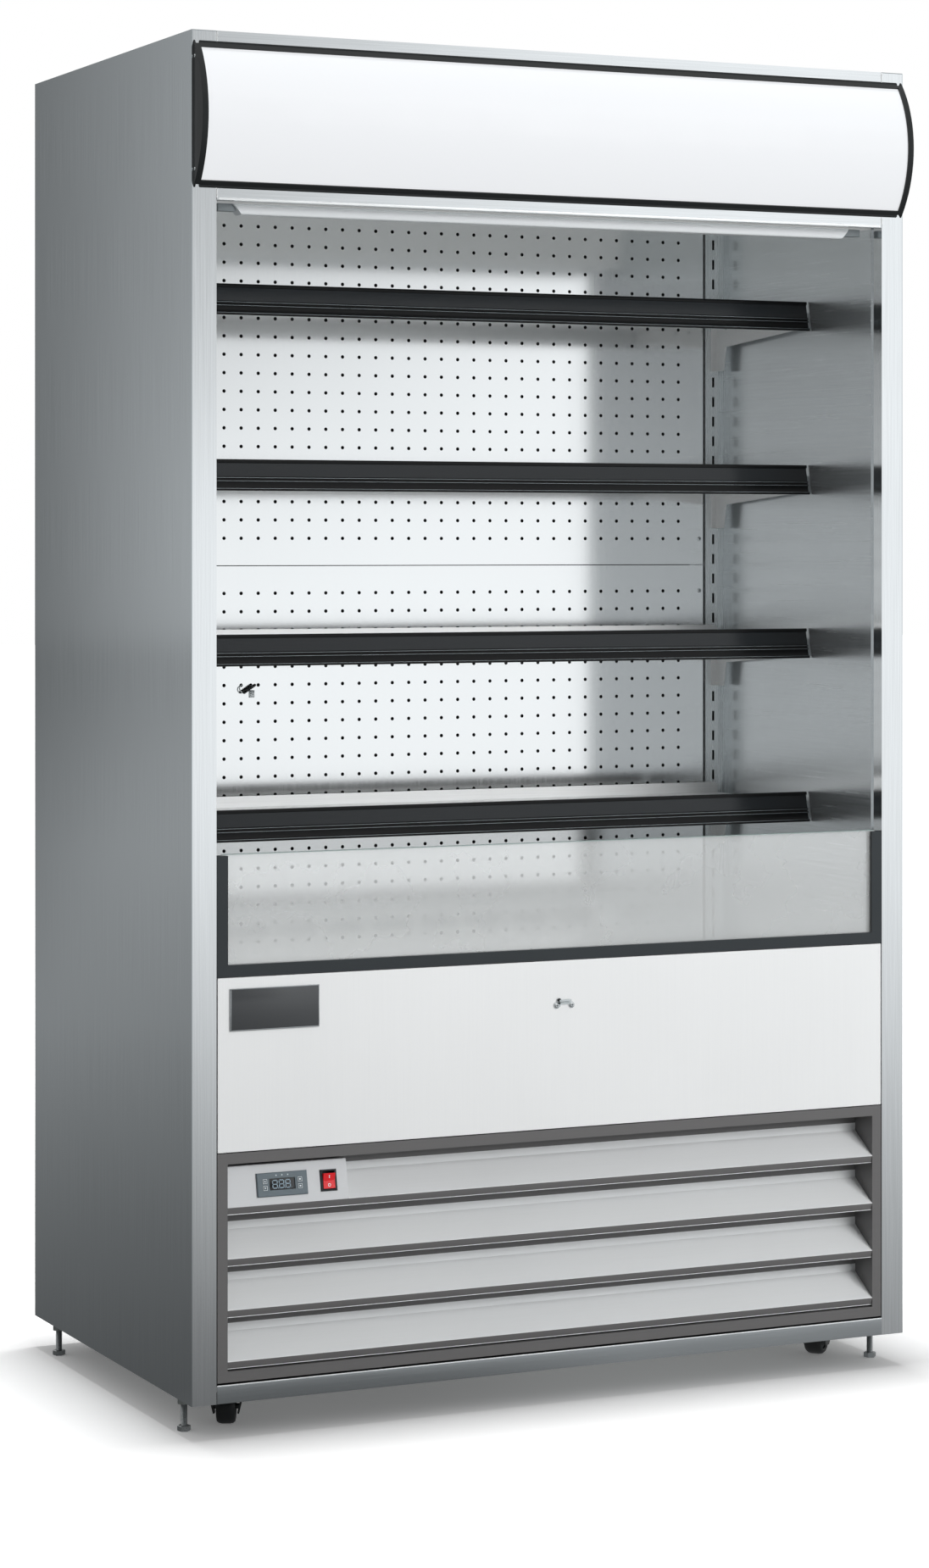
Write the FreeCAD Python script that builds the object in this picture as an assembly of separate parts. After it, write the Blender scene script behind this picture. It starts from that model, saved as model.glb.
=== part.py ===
import FreeCAD, Part
import math
import os

from FreeCAD import Vector

# Open multideck display fridge. Millimetres, +Z up, the open front faces -Y, X runs to the right.
# The origin is on the floor, under the middle of the space that the whole fridge fills.
# "s" is a distance inwards from the nearer side of the cabinet, "d" one backwards from its front face,
# and the left one of two mirrored pieces is drawn first.

# ---- The cabinet
WIDTH = 1175.0
DEPTH = 695.0
HEIGHT = 2000.0
BODY_BOTTOM = 50.0
CANOPY_BULGE = 37.0
SHEET = 1.2
LINER_SHEET = 1.0
SIDE_WALL = 39.0
REAR_WALL = 46.0
ROOF_WALL = 50.0
SEAM = 0.7

# ---- Front pillars, a folded sheet each
PILLAR_FACE = 37.5
JAMB_DEPTH = 28.0
PILLAR_LIP = 7.0
LINER_HEM = 3.0

# ---- Levels of the front, from the floor
KICK_TOP = 77.0
KICK_DEPTH = 22.0
LOUVRE_BOTTOM = 79.5
LOUVRE_TOP = 405.0
FRONT_PANEL_TOP = 654.5
GLASS_TOP = 830.0
GLASS_CHANNEL_TOP = 828.0
HEADER_HEIGHT = 240.0
CANOPY_FROM_TOP = 15.0
CANOPY_HEIGHT = 208.5

# ---- Cold well, deck and air ducts
WELL_FLOOR = 441.0
WELL_FOAM = 32.0
WELL_FRONT_WALL = 46.0
DECK_TOP = 600.0
DECK_FRONT = 100.0
DECK_FLANGE = 12.0
GRILLE_RISE = 40.0
RETURN_SLOTS = 12
CEILING_FROM_TOP = 170.0
BACK_PANEL_FACE = 500.0
BACK_PANEL_SEAM = 1237.5
BACK_PANEL_FOLD = 13.5
PANEL_GAP = 2.6

# ---- Slotted uprights
UPRIGHT_INNER = 75.0
UPRIGHT_WIDTH = 23.5
UPRIGHT_FACE = 496.0
UPRIGHT_SHEET = 2.0
UPRIGHT_FLANGE = 20.0
SLOT_PITCH = 32.6
SLOT_LENGTH = 16.3
SLOT_WIDTH = 4.0
SLOT_FROM_SIDE = 60.3

# ---- Shelves
SHELF_COUNT = 4
LOWEST_RAIL_TOP = 876.0
LEAST_TOP_SPACE = 60.0
RAIL_OVER_TRAY = 16.0
RAIL_HEIGHT = 47.0
RAIL_LEAN = 10.0
RAIL_BACK = 226.0
RAIL_FROM_SIDE = 42.0
RAIL_WALL = 2.0
TRAY_FROM_SIDE = 56.5
TRAY_REAR = 489.0
UPSTAND = 17.0
UPSTAND_CORNER = 5.0
TRAY_LIP = 29.0
TRAY_BEND = 3.0
BRACKET_SHEET = 2.0
BRACKET_FROM_SIDE = 54.0
BRACKET_FLANGE = 10.5
BRACKET_SEAT = 16.0
GUSSET_REAR = 43.5
GUSSET_FRONT = 26.5
GUSSET_CORNER = 34.5
GUSSET_SLOTS = (38.0, 89.0, 138.0)
GUSSET_SLOT_LENGTH = 8.0
GUSSET_SLOT_WIDTH = 4.0
GUSSET_SLOT_DROP = 15.0
TAB_DROP = 82.6
TAB_WIDTH = 26.0
HOOK_NECK = 7.0
HOOK_DROP = 6.0
HOOK_LIP = 3.0
HOOK_PLAY = 0.3
HOOKS = 2
FIRST_HOOK = 52.8
SLOTS_UNDER_HOOKS = 5

# ---- Sign canopy
CANOPY_FROM_SIDE = 2.5
CAP_SHEET = 2.5
CAP_RIM = 9.0
CANOPY_RAIL = 9.0
SIGN_PANEL = 2.5
SIGN_PLAY = 0.3
LED_BAR = 14.0
LED_BAR_WIDTH = 24.0
LED_BAR_FROM_MIDDLE = 38.0

# ---- Lamp and air outlet under the header
LAMP_FRONT = 32.0
LAMP_WIDTH = 26.0
LAMP_CHAMFER = 5.0
LAMP_DROP = 16.5
LAMP_FROM_SIDE = 76.0
LAMP_SLANT = 13.0
LAMP_HOLDER = 22.0
LAMP_HOLDER_HEIGHT = 11.0
OUTLET_WIDTH = 70.0
OUTLET_SHEET = 3.0
OUTLET_CELLS = 10
BAFFLE = 62.0

# ---- Night curtain behind the header
CURTAIN_ROLLER = 18.0
CURTAIN_ROLLER_AT = 37.0
CURTAIN_ROLLER_RISE = 40.0
CURTAIN_FROM_SIDE = 47.0
ROLLER_PIN = 4.0
BEARING = 2.5
PULL_BAR = 8.0
PULL_BAR_HEIGHT = 15.0

# ---- Glass riser
GLASS = 6.0
GLASS_FRONT = 5.0
GLASS_PLAY = 0.2
CHANNEL_WIDTH = 17.0
CHANNEL_DEPTH = 16.0
CHANNEL_WALL = 3.0
GLASS_CORNER = 4.0

# ---- Blank plate and curtain catch on the front panel
PLATE_FROM_SIDE = 57.7
PLATE_WIDTH = 137.0
PLATE_LOW = 578.5
PLATE_TOP = 639.0
PLATE = 3.0
CATCH_AT = 588.7
CATCH_LEVEL = 588.3
CATCH_SCREWS = 24.6

# ---- Louvre
LOUVRE_WIDTH = 15.5
LOUVRE_DEPTH = 58.0
SLAT_COUNT = 4
SLAT_PITCH = 73.0
SLAT_LIP = 9.5
SLAT_RUN = 52.0
SLAT_RISE = 33.0
SLAT_FLANGE = 22.0
SLAT_HEM = 10.0
TOP_SLAT = 327.0

# ---- Control panel with its controller and switch
PANEL_RIGHT = 242.0
PANEL_RISE = 57.0
PANEL_LEAN = 12.0
CONTROL_HEIGHT = 28.0
CONTROLLER_AT = 140.0
CONTROLLER_WIDTH = 78.0
CONTROLLER_HEIGHT = 34.0
CONTROLLER_BODY = 71.0
CONTROLLER_BODY_HEIGHT = 28.6
CONTROLLER_BODY_DEPTH = 38.0
BEZEL = 3.0
WINDOW_WIDTH = 40.0
WINDOW_HEIGHT = 17.0
WINDOW_DEPTH = 1.2
BUTTON = 6.4
BUTTON_PLAY = 0.3
BUTTON_PROUD = 0.9
BUTTON_DEPTH = 3.4
BUTTON_TRAVEL = 0.6
BUTTON_COLUMN = 27.0
BUTTON_ROW = 4.6
SWITCH_AT = 212.5
SWITCH_WIDTH = 25.5
SWITCH_HEIGHT = 31.0
SWITCH_BEZEL = 2.0
SWITCH_BODY_DEPTH = 22.0
ROCKER_WIDTH = 18.0
ROCKER_HEIGHT = 22.0
ROCKER_TILT = 9.0
ROCKER_PROUD = 4.0
ROCKER_DEPTH = 9.0
ROCKER_PLAY = 0.4
ROCKER_PIN = 1.5

# ---- Base, casters and levelling feet
BASE_RAIL_HEIGHT = 20.0
BASE_RAIL_BOTTOM = 52.0
BASE_SHEET = 2.5
FOOT_FROM_SIDE = 15.5
FOOT_FROM_FRONT = 72.0
FOOT_FROM_BACK = 72.0
FOOT_THREAD = 5.0
FOOT_HEAD = 17.0
FOOT_HEAD_HEIGHT = 8.0
FOOT_UP = 4.0
FOOT_DOWN = 15.0
NUT_HEIGHT = 13.0
THREAD_PLAY = 0.05
CASTER_FROM_SIDE = 98.0
CASTER_FROM_FRONT = 112.0
CASTER_FROM_BACK = 92.0
WHEEL_RADIUS = 25.0
WHEEL_WIDTH = 28.0
AXLE_RADIUS = 4.0
RUNNING_PLAY = 0.06
CASTER_TRAIL = 26.0
FORK_SHEET = 3.0
FORK_WIDTH = 52.0
FORK_FOOT_WIDTH = 38.0
FORK_SHOULDER = 46.0
FORK_FOOT = 15.0
CASTER_SWINGS = {"front_left": 155.0, "front_right": -49.0}
KINGPIN_RADIUS = 5.0
KINGPIN_NUT = 15.0
CASTER_PLATE = 58.0
CASTER_PLATE_SHEET = 2.5
SWIVEL_GAP = 0.3

# ---- Refrigeration set
FAN_BLADES = 5
FAN_HUB = 14.0
FAN_GAP = 5.0
BLADE_PITCH = 28.0
CONDENSER_FAN = 105.0
FAN_PLATE_EDGE = 6.5
EVAPORATOR_FAN_AT = 255.0
CONDENSER_AT = 60.0
CONDENSER_FRONT = 78.0
CONDENSER_WIDTH = 520.0
CONDENSER_HEIGHT = 270.0
CONDENSER_THICKNESS = 44.0
CONDENSER_FINS = 10
COIL_TUBE_INSET = 7.0
SHROUD_DEPTH = 40.0
SHROUD_SHEET = 2.0
CONDENSER_FAN_RISE = 12.0
CONDENSER_MOTOR = 60.0
CONDENSER_MOTOR_LENGTH = 50.0
MOTOR_BEHIND_FAN = 14.0
MOTOR_STAND = 50.0
MOTOR_STAND_INSET = 4.0
EVAPORATOR_FROM_UPRIGHT = 12.5
EVAPORATOR_DEPTH = 170.0
EVAPORATOR_FEET = 6.0
AIR_OVER_EVAPORATOR = 33.0
EVAPORATOR_FINS = 6
EVAPORATOR_FRONT = 400.0
FAN_PLATE_AT = 250.0
COMPRESSOR_AT = -330.0
COMPRESSOR_FROM_FRONT = 470.0
COMPRESSOR_RADIUS = 82.0
COMPRESSOR_HEIGHT = 190.0
COMPRESSOR_PLATE = 190.0
GROMMET = 20.0
GROMMET_HEIGHT = 10.0
DRIP_TRAY_FRONT = 520.0
DRIP_TRAY_REAR = 670.0
DRIP_TRAY_LEFT = -60.0
DRIP_TRAY_RIGHT = 460.0
DRIP_TRAY_HEIGHT = 40.0
DRIP_TRAY_SHEET = 1.5
WIRING_FROM_SIDE = 62.0
WIRING_WIDTH = 150.0
WIRING_DEPTH = 100.0
WIRING_HEIGHT = 210.0
WIRING_FROM_FRONT = 90.0

# ---- Sensor clip on the back panel
SENSOR_AT = 283.0
SENSOR_LEVEL = 1044.0

# ---- Worked out from the sizes above
HEADER_BOTTOM = HEIGHT - HEADER_HEIGHT
CANOPY_TOP = HEIGHT - CANOPY_FROM_TOP
CANOPY_BOTTOM = CANOPY_TOP - CANOPY_HEIGHT
CEILING = HEIGHT - CEILING_FROM_TOP
CURTAIN_ROLLER_LEVEL = HEADER_BOTTOM + CURTAIN_ROLLER_RISE
HALF = WIDTH / 2
FRONT = (CANOPY_BULGE - DEPTH) / 2
BACK = FRONT + DEPTH
LINER_X = HALF - SIDE_WALL
BASE_TOP = BASE_RAIL_BOTTOM + BASE_RAIL_HEIGHT
WELL_BOTTOM = WELL_FLOOR - LINER_SHEET - WELL_FOAM
FRONT_PANEL_BOTTOM = LOUVRE_TOP + 1.5
SHELF_SPACE = (HEADER_BOTTOM - LEAST_TOP_SPACE - LOWEST_RAIL_TOP) / (SHELF_COUNT - 1)
SHELF_STEP = SLOT_PITCH * math.floor(SHELF_SPACE / SLOT_PITCH)
HOOK_DROPS = [FIRST_HOOK + i * SLOT_PITCH for i in range(HOOKS)]
FIRST_SLOT = LOWEST_RAIL_TOP - HOOK_DROPS[-1] - SLOTS_UNDER_HOOKS * SLOT_PITCH
SLOT_COUNT = math.floor((CEILING - SLOT_LENGTH - FIRST_SLOT) / SLOT_PITCH) + 1
EVAPORATOR_WIDTH = WIDTH - 2 * (UPRIGHT_INNER + UPRIGHT_FLANGE + EVAPORATOR_FROM_UPRIGHT)
EVAPORATOR_HEIGHT = DECK_TOP - WELL_FLOOR - EVAPORATOR_FEET - AIR_OVER_EVAPORATOR
EVAPORATOR_FAN = (DECK_TOP - WELL_FLOOR) / 2 - FAN_GAP - FAN_PLATE_EDGE
CONTROL_TILT = math.degrees(math.atan(PANEL_LEAN / PANEL_RISE))

SHAPES = {}


def left(s):
    """X of a place s inwards from the left side."""
    return s - HALF


def back(d):
    """Y of a place d behind the front face."""
    return FRONT + d


def box(x0, x1, y0, y1, z0, z1):
    return Part.makeBox(x1 - x0, y1 - y0, z1 - z0, Vector(x0, y0, z0))


def solid_of(points, sweep):
    face = Part.Face(Part.makePolygon(points + [points[0]]))
    return face.extrude(sweep)


def along_x(profile, x0, x1):
    """A (y, z) outline swept from x0 to x1."""
    return solid_of([Vector(x0, y, z) for y, z in profile], Vector(x1 - x0, 0, 0))


def along_y(profile, y0, y1):
    """An (x, z) outline swept from y0 to y1."""
    return solid_of([Vector(x, y0, z) for x, z in profile], Vector(0, y1 - y0, 0))


def along_z(profile, z0, z1):
    """An (x, y) outline swept from z0 to z1."""
    return solid_of([Vector(x, y, z0) for x, y in profile], Vector(0, 0, z1 - z0))


def folded(path, thickness):
    """Outline of a sheet folded along a path, its metal on the left of the path."""
    normals = []
    for (a0, b0), (a1, b1) in zip(path, path[1:]):
        length = math.hypot(a1 - a0, b1 - b0)
        normals.append((-(b1 - b0) / length, (a1 - a0) / length))
    inner = []
    for i, (a, b) in enumerate(path):
        n = normals[max(i - 1, 0)]
        m = normals[min(i, len(normals) - 1)]
        scale = thickness / (1 + n[0] * m[0] + n[1] * m[1])
        inner.append((a + (n[0] + m[0]) * scale, b + (n[1] + m[1]) * scale))
    return path + inner[::-1]


def cylinder(radius, length, foot, axis):
    return Part.makeCylinder(radius, length, foot, axis)


def mirrored(shape):
    return shape.mirror(Vector(0, 0, 0), Vector(1, 0, 0))


def both_sides(shape):
    return [shape, mirrored(shape)]


def fused(solids):
    """One solid from touching ones, with the seams between coplanar faces cleaned away."""
    return solids[0].multiFuse(solids[1:]).removeSplitter()


def node(name, solids):
    """Keeps a named piece, or a group of like pieces, for export."""
    SHAPES[name] = solids[0] if len(solids) == 1 else Part.makeCompound(solids)


# ---------------------------------------------------------------- casing
def make_casing():
    side = box(left(0), left(SHEET), FRONT, BACK, BODY_BOTTOM, HEIGHT)
    node("side_panels", both_sides(side))

    pillar_path = [
        (left(PILLAR_FACE - PILLAR_LIP), back(JAMB_DEPTH)),
        (left(PILLAR_FACE), back(JAMB_DEPTH)),
        (left(PILLAR_FACE), FRONT),
        (left(SHEET), FRONT),
        (left(SHEET), back(JAMB_DEPTH)),
    ]
    pillar = along_z(folded(pillar_path[::-1], SHEET), BODY_BOTTOM, HEIGHT - SHEET)
    node("front_pillars", both_sides(pillar))

    roof = box(left(SHEET), -left(SHEET), back(JAMB_DEPTH), BACK - SHEET, HEIGHT - SHEET, HEIGHT)
    ear = box(left(SHEET), left(PILLAR_FACE), FRONT, back(JAMB_DEPTH), HEIGHT - SHEET, HEIGHT)
    roof = fused([roof] + both_sides(ear))
    rear = box(left(SHEET), -left(SHEET), BACK - SHEET, BACK, WELL_BOTTOM, HEIGHT)
    node("outer_casing", [roof, rear, rear_service_grille()])

    liner_back = left(SIDE_WALL - LINER_SHEET)
    rear_face = BACK - REAR_WALL
    foam_top = HEIGHT - SHEET
    ceiling = HEIGHT - ROOF_WALL
    foam_front = back(JAMB_DEPTH + LINER_SHEET)
    side_foam = box(left(SHEET), liner_back, foam_front, rear_face, WELL_BOTTOM, foam_top)
    rear_foam = box(
        left(SHEET), -left(SHEET), rear_face + LINER_SHEET, BACK - SHEET, WELL_BOTTOM, foam_top
    )
    roof_foam = box(
        liner_back, -liner_back, back(BAFFLE), rear_face, ceiling + LINER_SHEET, foam_top
    )
    floor_foam = box(
        left(SIDE_WALL), LINER_X, back(WELL_FRONT_WALL), rear_face, WELL_BOTTOM, WELL_FLOOR - LINER_SHEET
    )
    sill_side = left(PILLAR_FACE + 4 * SHEET)
    front_foam = box(
        sill_side,
        -sill_side,
        back(SHEET),
        back(WELL_FRONT_WALL - LINER_SHEET),
        FRONT_PANEL_BOTTOM + SHEET,
        FRONT_PANEL_TOP - SHEET - LINER_SHEET,
    )
    node("insulation", both_sides(side_foam) + [rear_foam, roof_foam, floor_foam, front_foam])

    hem = [
        (left(PILLAR_FACE - LINER_HEM), back(JAMB_DEPTH)),
        (left(SIDE_WALL + LINER_SHEET), back(JAMB_DEPTH)),
        (left(SIDE_WALL + LINER_SHEET), back(JAMB_DEPTH + LINER_HEM)),
        (left(SIDE_WALL), back(JAMB_DEPTH + LINER_HEM)),
        (left(SIDE_WALL), rear_face),
        (liner_back, rear_face),
        (liner_back, foam_front),
        (left(PILLAR_FACE - LINER_HEM), foam_front),
    ]
    side_liner = along_z(hem, WELL_BOTTOM, ceiling)
    rear_liner = box(liner_back, -liner_back, rear_face, rear_face + LINER_SHEET, WELL_BOTTOM, foam_top)
    top_liner = box(liner_back, -liner_back, back(BAFFLE), rear_face, ceiling, ceiling + LINER_SHEET)
    floor_liner = box(
        left(SIDE_WALL), LINER_X, back(WELL_FRONT_WALL), rear_face, WELL_FLOOR - LINER_SHEET, WELL_FLOOR
    )
    sill_path = [
        (back(SHEET), FRONT_PANEL_TOP - SHEET),
        (back(WELL_FRONT_WALL), FRONT_PANEL_TOP - SHEET),
        (back(WELL_FRONT_WALL), WELL_FLOOR),
    ]
    sill = along_x(folded(sill_path[::-1], LINER_SHEET), left(SIDE_WALL + 2), -left(SIDE_WALL + 2))
    node("inner_liner", both_sides(side_liner) + [rear_liner, top_liner, floor_liner, sill])


def rear_service_grille():
    """Lower rear cover, with rows of slots that let out the warm air."""
    cover = box(left(SHEET), -left(SHEET), BACK - SHEET, BACK, BODY_BOTTOM + 10, WELL_BOTTOM - SEAM)
    slot_length = 280.0
    slot_height = 10.0
    cuts = []
    for column in range(3):
        x = (column - 1) * (slot_length + 60)
        for row in range(4):
            z = 160 + row * 50
            cuts.append(box(x - slot_length / 2, x + slot_length / 2, BACK - 5, BACK + 5, z, z + slot_height))
    return cover.cut(Part.makeCompound(cuts))


def make_header():
    """Stainless strip behind the sign, folded back at its top and bottom."""
    path = [
        (back(10.0), HEADER_BOTTOM + 8),
        (back(10.0), HEADER_BOTTOM),
        (FRONT, HEADER_BOTTOM),
        (FRONT, HEIGHT),
        (back(JAMB_DEPTH - SEAM), HEIGHT),
    ]
    edge = PILLAR_FACE + SEAM
    node("header_panel", [along_x(folded(path[::-1], SHEET), left(edge), -left(edge))])


# ---------------------------------------------------------------- sign canopy
def canopy_arc():
    """Centre depth and radius of the arc that bulges out between the canopy's edges."""
    chord = CANOPY_TOP - CANOPY_BOTTOM
    radius = chord ** 2 / (8 * CANOPY_BULGE) + CANOPY_BULGE / 2
    return FRONT - CANOPY_BULGE + radius, (CANOPY_TOP + CANOPY_BOTTOM) / 2, radius


def canopy_band(outer, inner, low, high, x0, x1):
    """A curved band of the canopy between two offsets from its arc and two angles from the middle."""
    cy, cz, radius = canopy_arc()

    def at(r, angle):
        return Vector(x0, cy - r * math.cos(angle), cz + r * math.sin(angle))

    r0, r1 = radius - outer, radius - inner
    middle = (low + high) / 2
    edges = [
        Part.Arc(at(r0, low), at(r0, middle), at(r0, high)).toShape(),
        Part.makeLine(at(r0, high), at(r1, high)),
        Part.Arc(at(r1, high), at(r1, middle), at(r1, low)).toShape(),
        Part.makeLine(at(r1, low), at(r0, low)),
    ]
    return Part.Face(Part.Wire(edges)).extrude(Vector(x1 - x0, 0, 0))


def canopy_angle(inset):
    """Angle from the middle to a height inset from the canopy's top edge, on the arc."""
    _, cz, radius = canopy_arc()
    return math.asin((CANOPY_TOP - inset - cz) / radius)


def make_canopy():
    cy, cz, radius = canopy_arc()
    end = canopy_angle(0)
    x0 = left(CANOPY_FROM_SIDE)
    cap_edges = [
        Part.Arc(
            Vector(x0, FRONT, CANOPY_BOTTOM), Vector(x0, cy - radius, cz), Vector(x0, FRONT, CANOPY_TOP)
        ).toShape(),
        Part.makeLine(Vector(x0, FRONT, CANOPY_TOP), Vector(x0, FRONT, CANOPY_BOTTOM)),
    ]
    cap = Part.Face(Part.Wire(cap_edges)).extrude(Vector(CAP_SHEET, 0, 0))
    rim_angle = canopy_angle(CANOPY_RAIL / 2)
    rim = canopy_band(0, CAP_SHEET, -rim_angle, rim_angle, x0, x0 + CAP_RIM)
    cap = fused([cap, rim])

    rail_low = canopy_angle(CANOPY_RAIL)
    rail = canopy_band(0, CAP_SHEET, rail_low, end, x0 + CAP_RIM, -x0 - CAP_RIM)
    foot = box(x0 + CAP_RIM, -x0 - CAP_RIM, FRONT - CAP_SHEET, FRONT, CANOPY_TOP - 5, CANOPY_TOP - 1)
    before_header = box(x0, -x0, FRONT - CANOPY_BULGE, FRONT, CANOPY_BOTTOM, CANOPY_TOP)
    rail = fused([rail.common(before_header), foot])
    rail_low_edge = rail.mirror(Vector(0, 0, cz), Vector(0, 0, 1))
    node("canopy_frame", both_sides(cap) + [rail, rail_low_edge])

    sign_angle = canopy_angle(CANOPY_RAIL - 1)
    sign_x = x0 + CAP_SHEET
    outer = CAP_SHEET + SIGN_PLAY
    sign = canopy_band(outer, outer + SIGN_PANEL, -sign_angle, sign_angle, sign_x, -sign_x)
    node("canopy_sign_panel", [sign])

    bars = []
    for z in (cz - LED_BAR_FROM_MIDDLE, cz + LED_BAR_FROM_MIDDLE):
        low, high = z - LED_BAR_WIDTH / 2, z + LED_BAR_WIDTH / 2
        bars.append(box(left(30), -left(30), FRONT - LED_BAR, FRONT, low, high))
    node("canopy_led_bars", bars)


# ---------------------------------------------------------------- lamp and air outlet
def make_top_fittings():
    lamp_top = HEADER_BOTTOM - 1
    lamp_bottom = lamp_top - LAMP_DROP + 1
    low = LAMP_FROM_SIDE + LAMP_SLANT
    outline = [
        (left(LAMP_FROM_SIDE), lamp_top),
        (left(low), lamp_bottom),
        (-left(low), lamp_bottom),
        (-left(LAMP_FROM_SIDE), lamp_top),
    ]
    lamp = along_y(outline, back(LAMP_FRONT), back(LAMP_FRONT + LAMP_WIDTH))
    long_edges = [e for e in lamp.Edges if e.Length > WIDTH / 2 and e.BoundBox.ZMax < lamp_bottom + 1]
    lamp = lamp.makeChamfer(LAMP_CHAMFER, long_edges)
    holder_low = lamp_top - LAMP_HOLDER_HEIGHT
    reach = LAMP_SLANT * LAMP_HOLDER_HEIGHT / (lamp_top - lamp_bottom)
    holder = along_y(
        [
            (left(LAMP_FROM_SIDE - LAMP_HOLDER), lamp_top),
            (left(LAMP_FROM_SIDE), lamp_top),
            (left(LAMP_FROM_SIDE + reach), holder_low),
            (left(LAMP_FROM_SIDE - LAMP_HOLDER), holder_low),
        ],
        back(LAMP_FRONT + LAMP_CHAMFER),
        back(LAMP_FRONT + LAMP_WIDTH - LAMP_CHAMFER),
    )
    node("lamp_diffuser", [lamp] + both_sides(holder))

    baffle_path = [
        (back(LAMP_FRONT - 4), lamp_top + 8),
        (back(LAMP_FRONT - 4), lamp_top),
        (back(BAFFLE), lamp_top),
        (back(BAFFLE), HEIGHT - ROOF_WALL + LINER_SHEET),
    ]
    hem = SIDE_WALL + LINER_SHEET
    baffle = along_x(folded(baffle_path, SHEET), left(hem), -left(hem))
    outlet_rear = back(BAFFLE + OUTLET_WIDTH)
    grille = box(
        left(SIDE_WALL), LINER_X, back(BAFFLE), outlet_rear, HEADER_BOTTOM, HEADER_BOTTOM + OUTLET_SHEET
    )
    cell = (WIDTH - 2 * SIDE_WALL - 20) / OUTLET_CELLS
    cuts = []
    for i in range(OUTLET_CELLS):
        x = left(SIDE_WALL + 10) + i * cell
        cuts.append(
            box(
                x + 2,
                x + cell - 2,
                back(BAFFLE + 8),
                outlet_rear - 8,
                HEADER_BOTTOM - 5,
                HEADER_BOTTOM + 2 * OUTLET_SHEET,
            )
        )
    grille = grille.cut(Part.makeCompound(cuts))
    ceiling_path = [
        (outlet_rear, HEADER_BOTTOM),
        (outlet_rear, CEILING),
        (back(BACK_PANEL_FACE), CEILING),
    ]
    ceiling = along_x(folded(ceiling_path[::-1], SHEET), left(SIDE_WALL), LINER_X)
    bearing = box(
        left(SIDE_WALL),
        left(SIDE_WALL + BEARING),
        back(CURTAIN_ROLLER_AT - 6),
        back(BAFFLE - SHEET),
        CURTAIN_ROLLER_LEVEL - 12,
        CURTAIN_ROLLER_LEVEL + 12,
    )
    bore = cylinder(
        ROLLER_PIN + RUNNING_PLAY,
        WIDTH,
        Vector(-HALF, back(CURTAIN_ROLLER_AT), CURTAIN_ROLLER_LEVEL),
        Vector(1, 0, 0),
    )
    node("air_outlet", [baffle, grille, ceiling] + both_sides(bearing.cut(bore)))


def make_curtain():
    """Night curtain: the roller it winds on, behind the header, and the pull bar at its end."""
    y = back(CURTAIN_ROLLER_AT)
    z = CURTAIN_ROLLER_LEVEL
    end = left(SIDE_WALL + BEARING + SEAM)
    roller = cylinder(CURTAIN_ROLLER, -2 * end, Vector(end, y, z), Vector(1, 0, 0))
    tip = left(SIDE_WALL + RUNNING_PLAY)
    pin = cylinder(ROLLER_PIN, -2 * tip, Vector(tip, y, z), Vector(1, 0, 0))
    node("curtain_roller", [fused([roller, pin])])

    edge = left(CURTAIN_FROM_SIDE)
    front = back(CURTAIN_ROLLER_AT - CURTAIN_ROLLER - PULL_BAR / 2)
    bar = box(edge, -edge, front, front + PULL_BAR, HEADER_BOTTOM + 3, HEADER_BOTTOM + 3 + PULL_BAR_HEIGHT)
    node("curtain_pull_bar", [bar])


# ---------------------------------------------------------------- uprights and back panels
def slot_levels():
    return [FIRST_SLOT + i * SLOT_PITCH for i in range(SLOT_COUNT)]


def make_back_wall():
    web = UPRIGHT_FACE + UPRIGHT_SHEET
    fold_back = BACK_PANEL_FACE + BACK_PANEL_FOLD
    top = CEILING - SHEET
    path = [
        (left(SIDE_WALL), back(BACK_PANEL_FACE)),
        (left(UPRIGHT_INNER - UPRIGHT_WIDTH), back(UPRIGHT_FACE)),
        (left(UPRIGHT_INNER), back(UPRIGHT_FACE)),
        (left(UPRIGHT_INNER), back(fold_back)),
        (left(UPRIGHT_INNER + UPRIGHT_FLANGE), back(fold_back)),
    ]
    upright = along_z(folded(path, UPRIGHT_SHEET), WELL_FLOOR, top)
    cuts = []
    for z in slot_levels():
        x = left(SLOT_FROM_SIDE)
        cuts.append(
            box(
                x - SLOT_WIDTH / 2,
                x + SLOT_WIDTH / 2,
                back(UPRIGHT_FACE - 1),
                back(web + 1),
                z - SLOT_LENGTH / 2,
                z + SLOT_LENGTH / 2,
            )
        )
    upright = upright.cut(Part.makeCompound(cuts))
    stays = []
    for z in (DECK_TOP + 40, (DECK_TOP + CEILING) / 2, CEILING - 60):
        stay = box(
            left(UPRIGHT_INNER + 2),
            left(UPRIGHT_INNER + UPRIGHT_FLANGE),
            back(fold_back + UPRIGHT_SHEET),
            BACK - REAR_WALL,
            z,
            z + 20,
        )
        stays += both_sides(stay)
    node("slotted_uprights", both_sides(upright) + stays)

    panels = []
    for low, high in ((DECK_TOP - DECK_FLANGE, BACK_PANEL_SEAM - SEAM), (BACK_PANEL_SEAM + SEAM, top)):
        x0 = left(UPRIGHT_INNER + PANEL_GAP)
        pan = box(x0, -x0, back(BACK_PANEL_FACE), back(BACK_PANEL_FACE + BACK_PANEL_FOLD), low, high)
        hollow = box(
            x0 + LINER_SHEET,
            -x0 - LINER_SHEET,
            back(BACK_PANEL_FACE + LINER_SHEET),
            back(BACK_PANEL_FACE + BACK_PANEL_FOLD + 1),
            low + LINER_SHEET,
            high - LINER_SHEET,
        )
        panels.append(pan.cut(hollow))
    node("back_panels", panels)


# ---------------------------------------------------------------- shelves
def rail_back(drop):
    """Depth of the leaning back face of a price rail, a drop below its top."""
    return RAIL_BACK - RAIL_LEAN * drop / RAIL_HEIGHT


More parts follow.
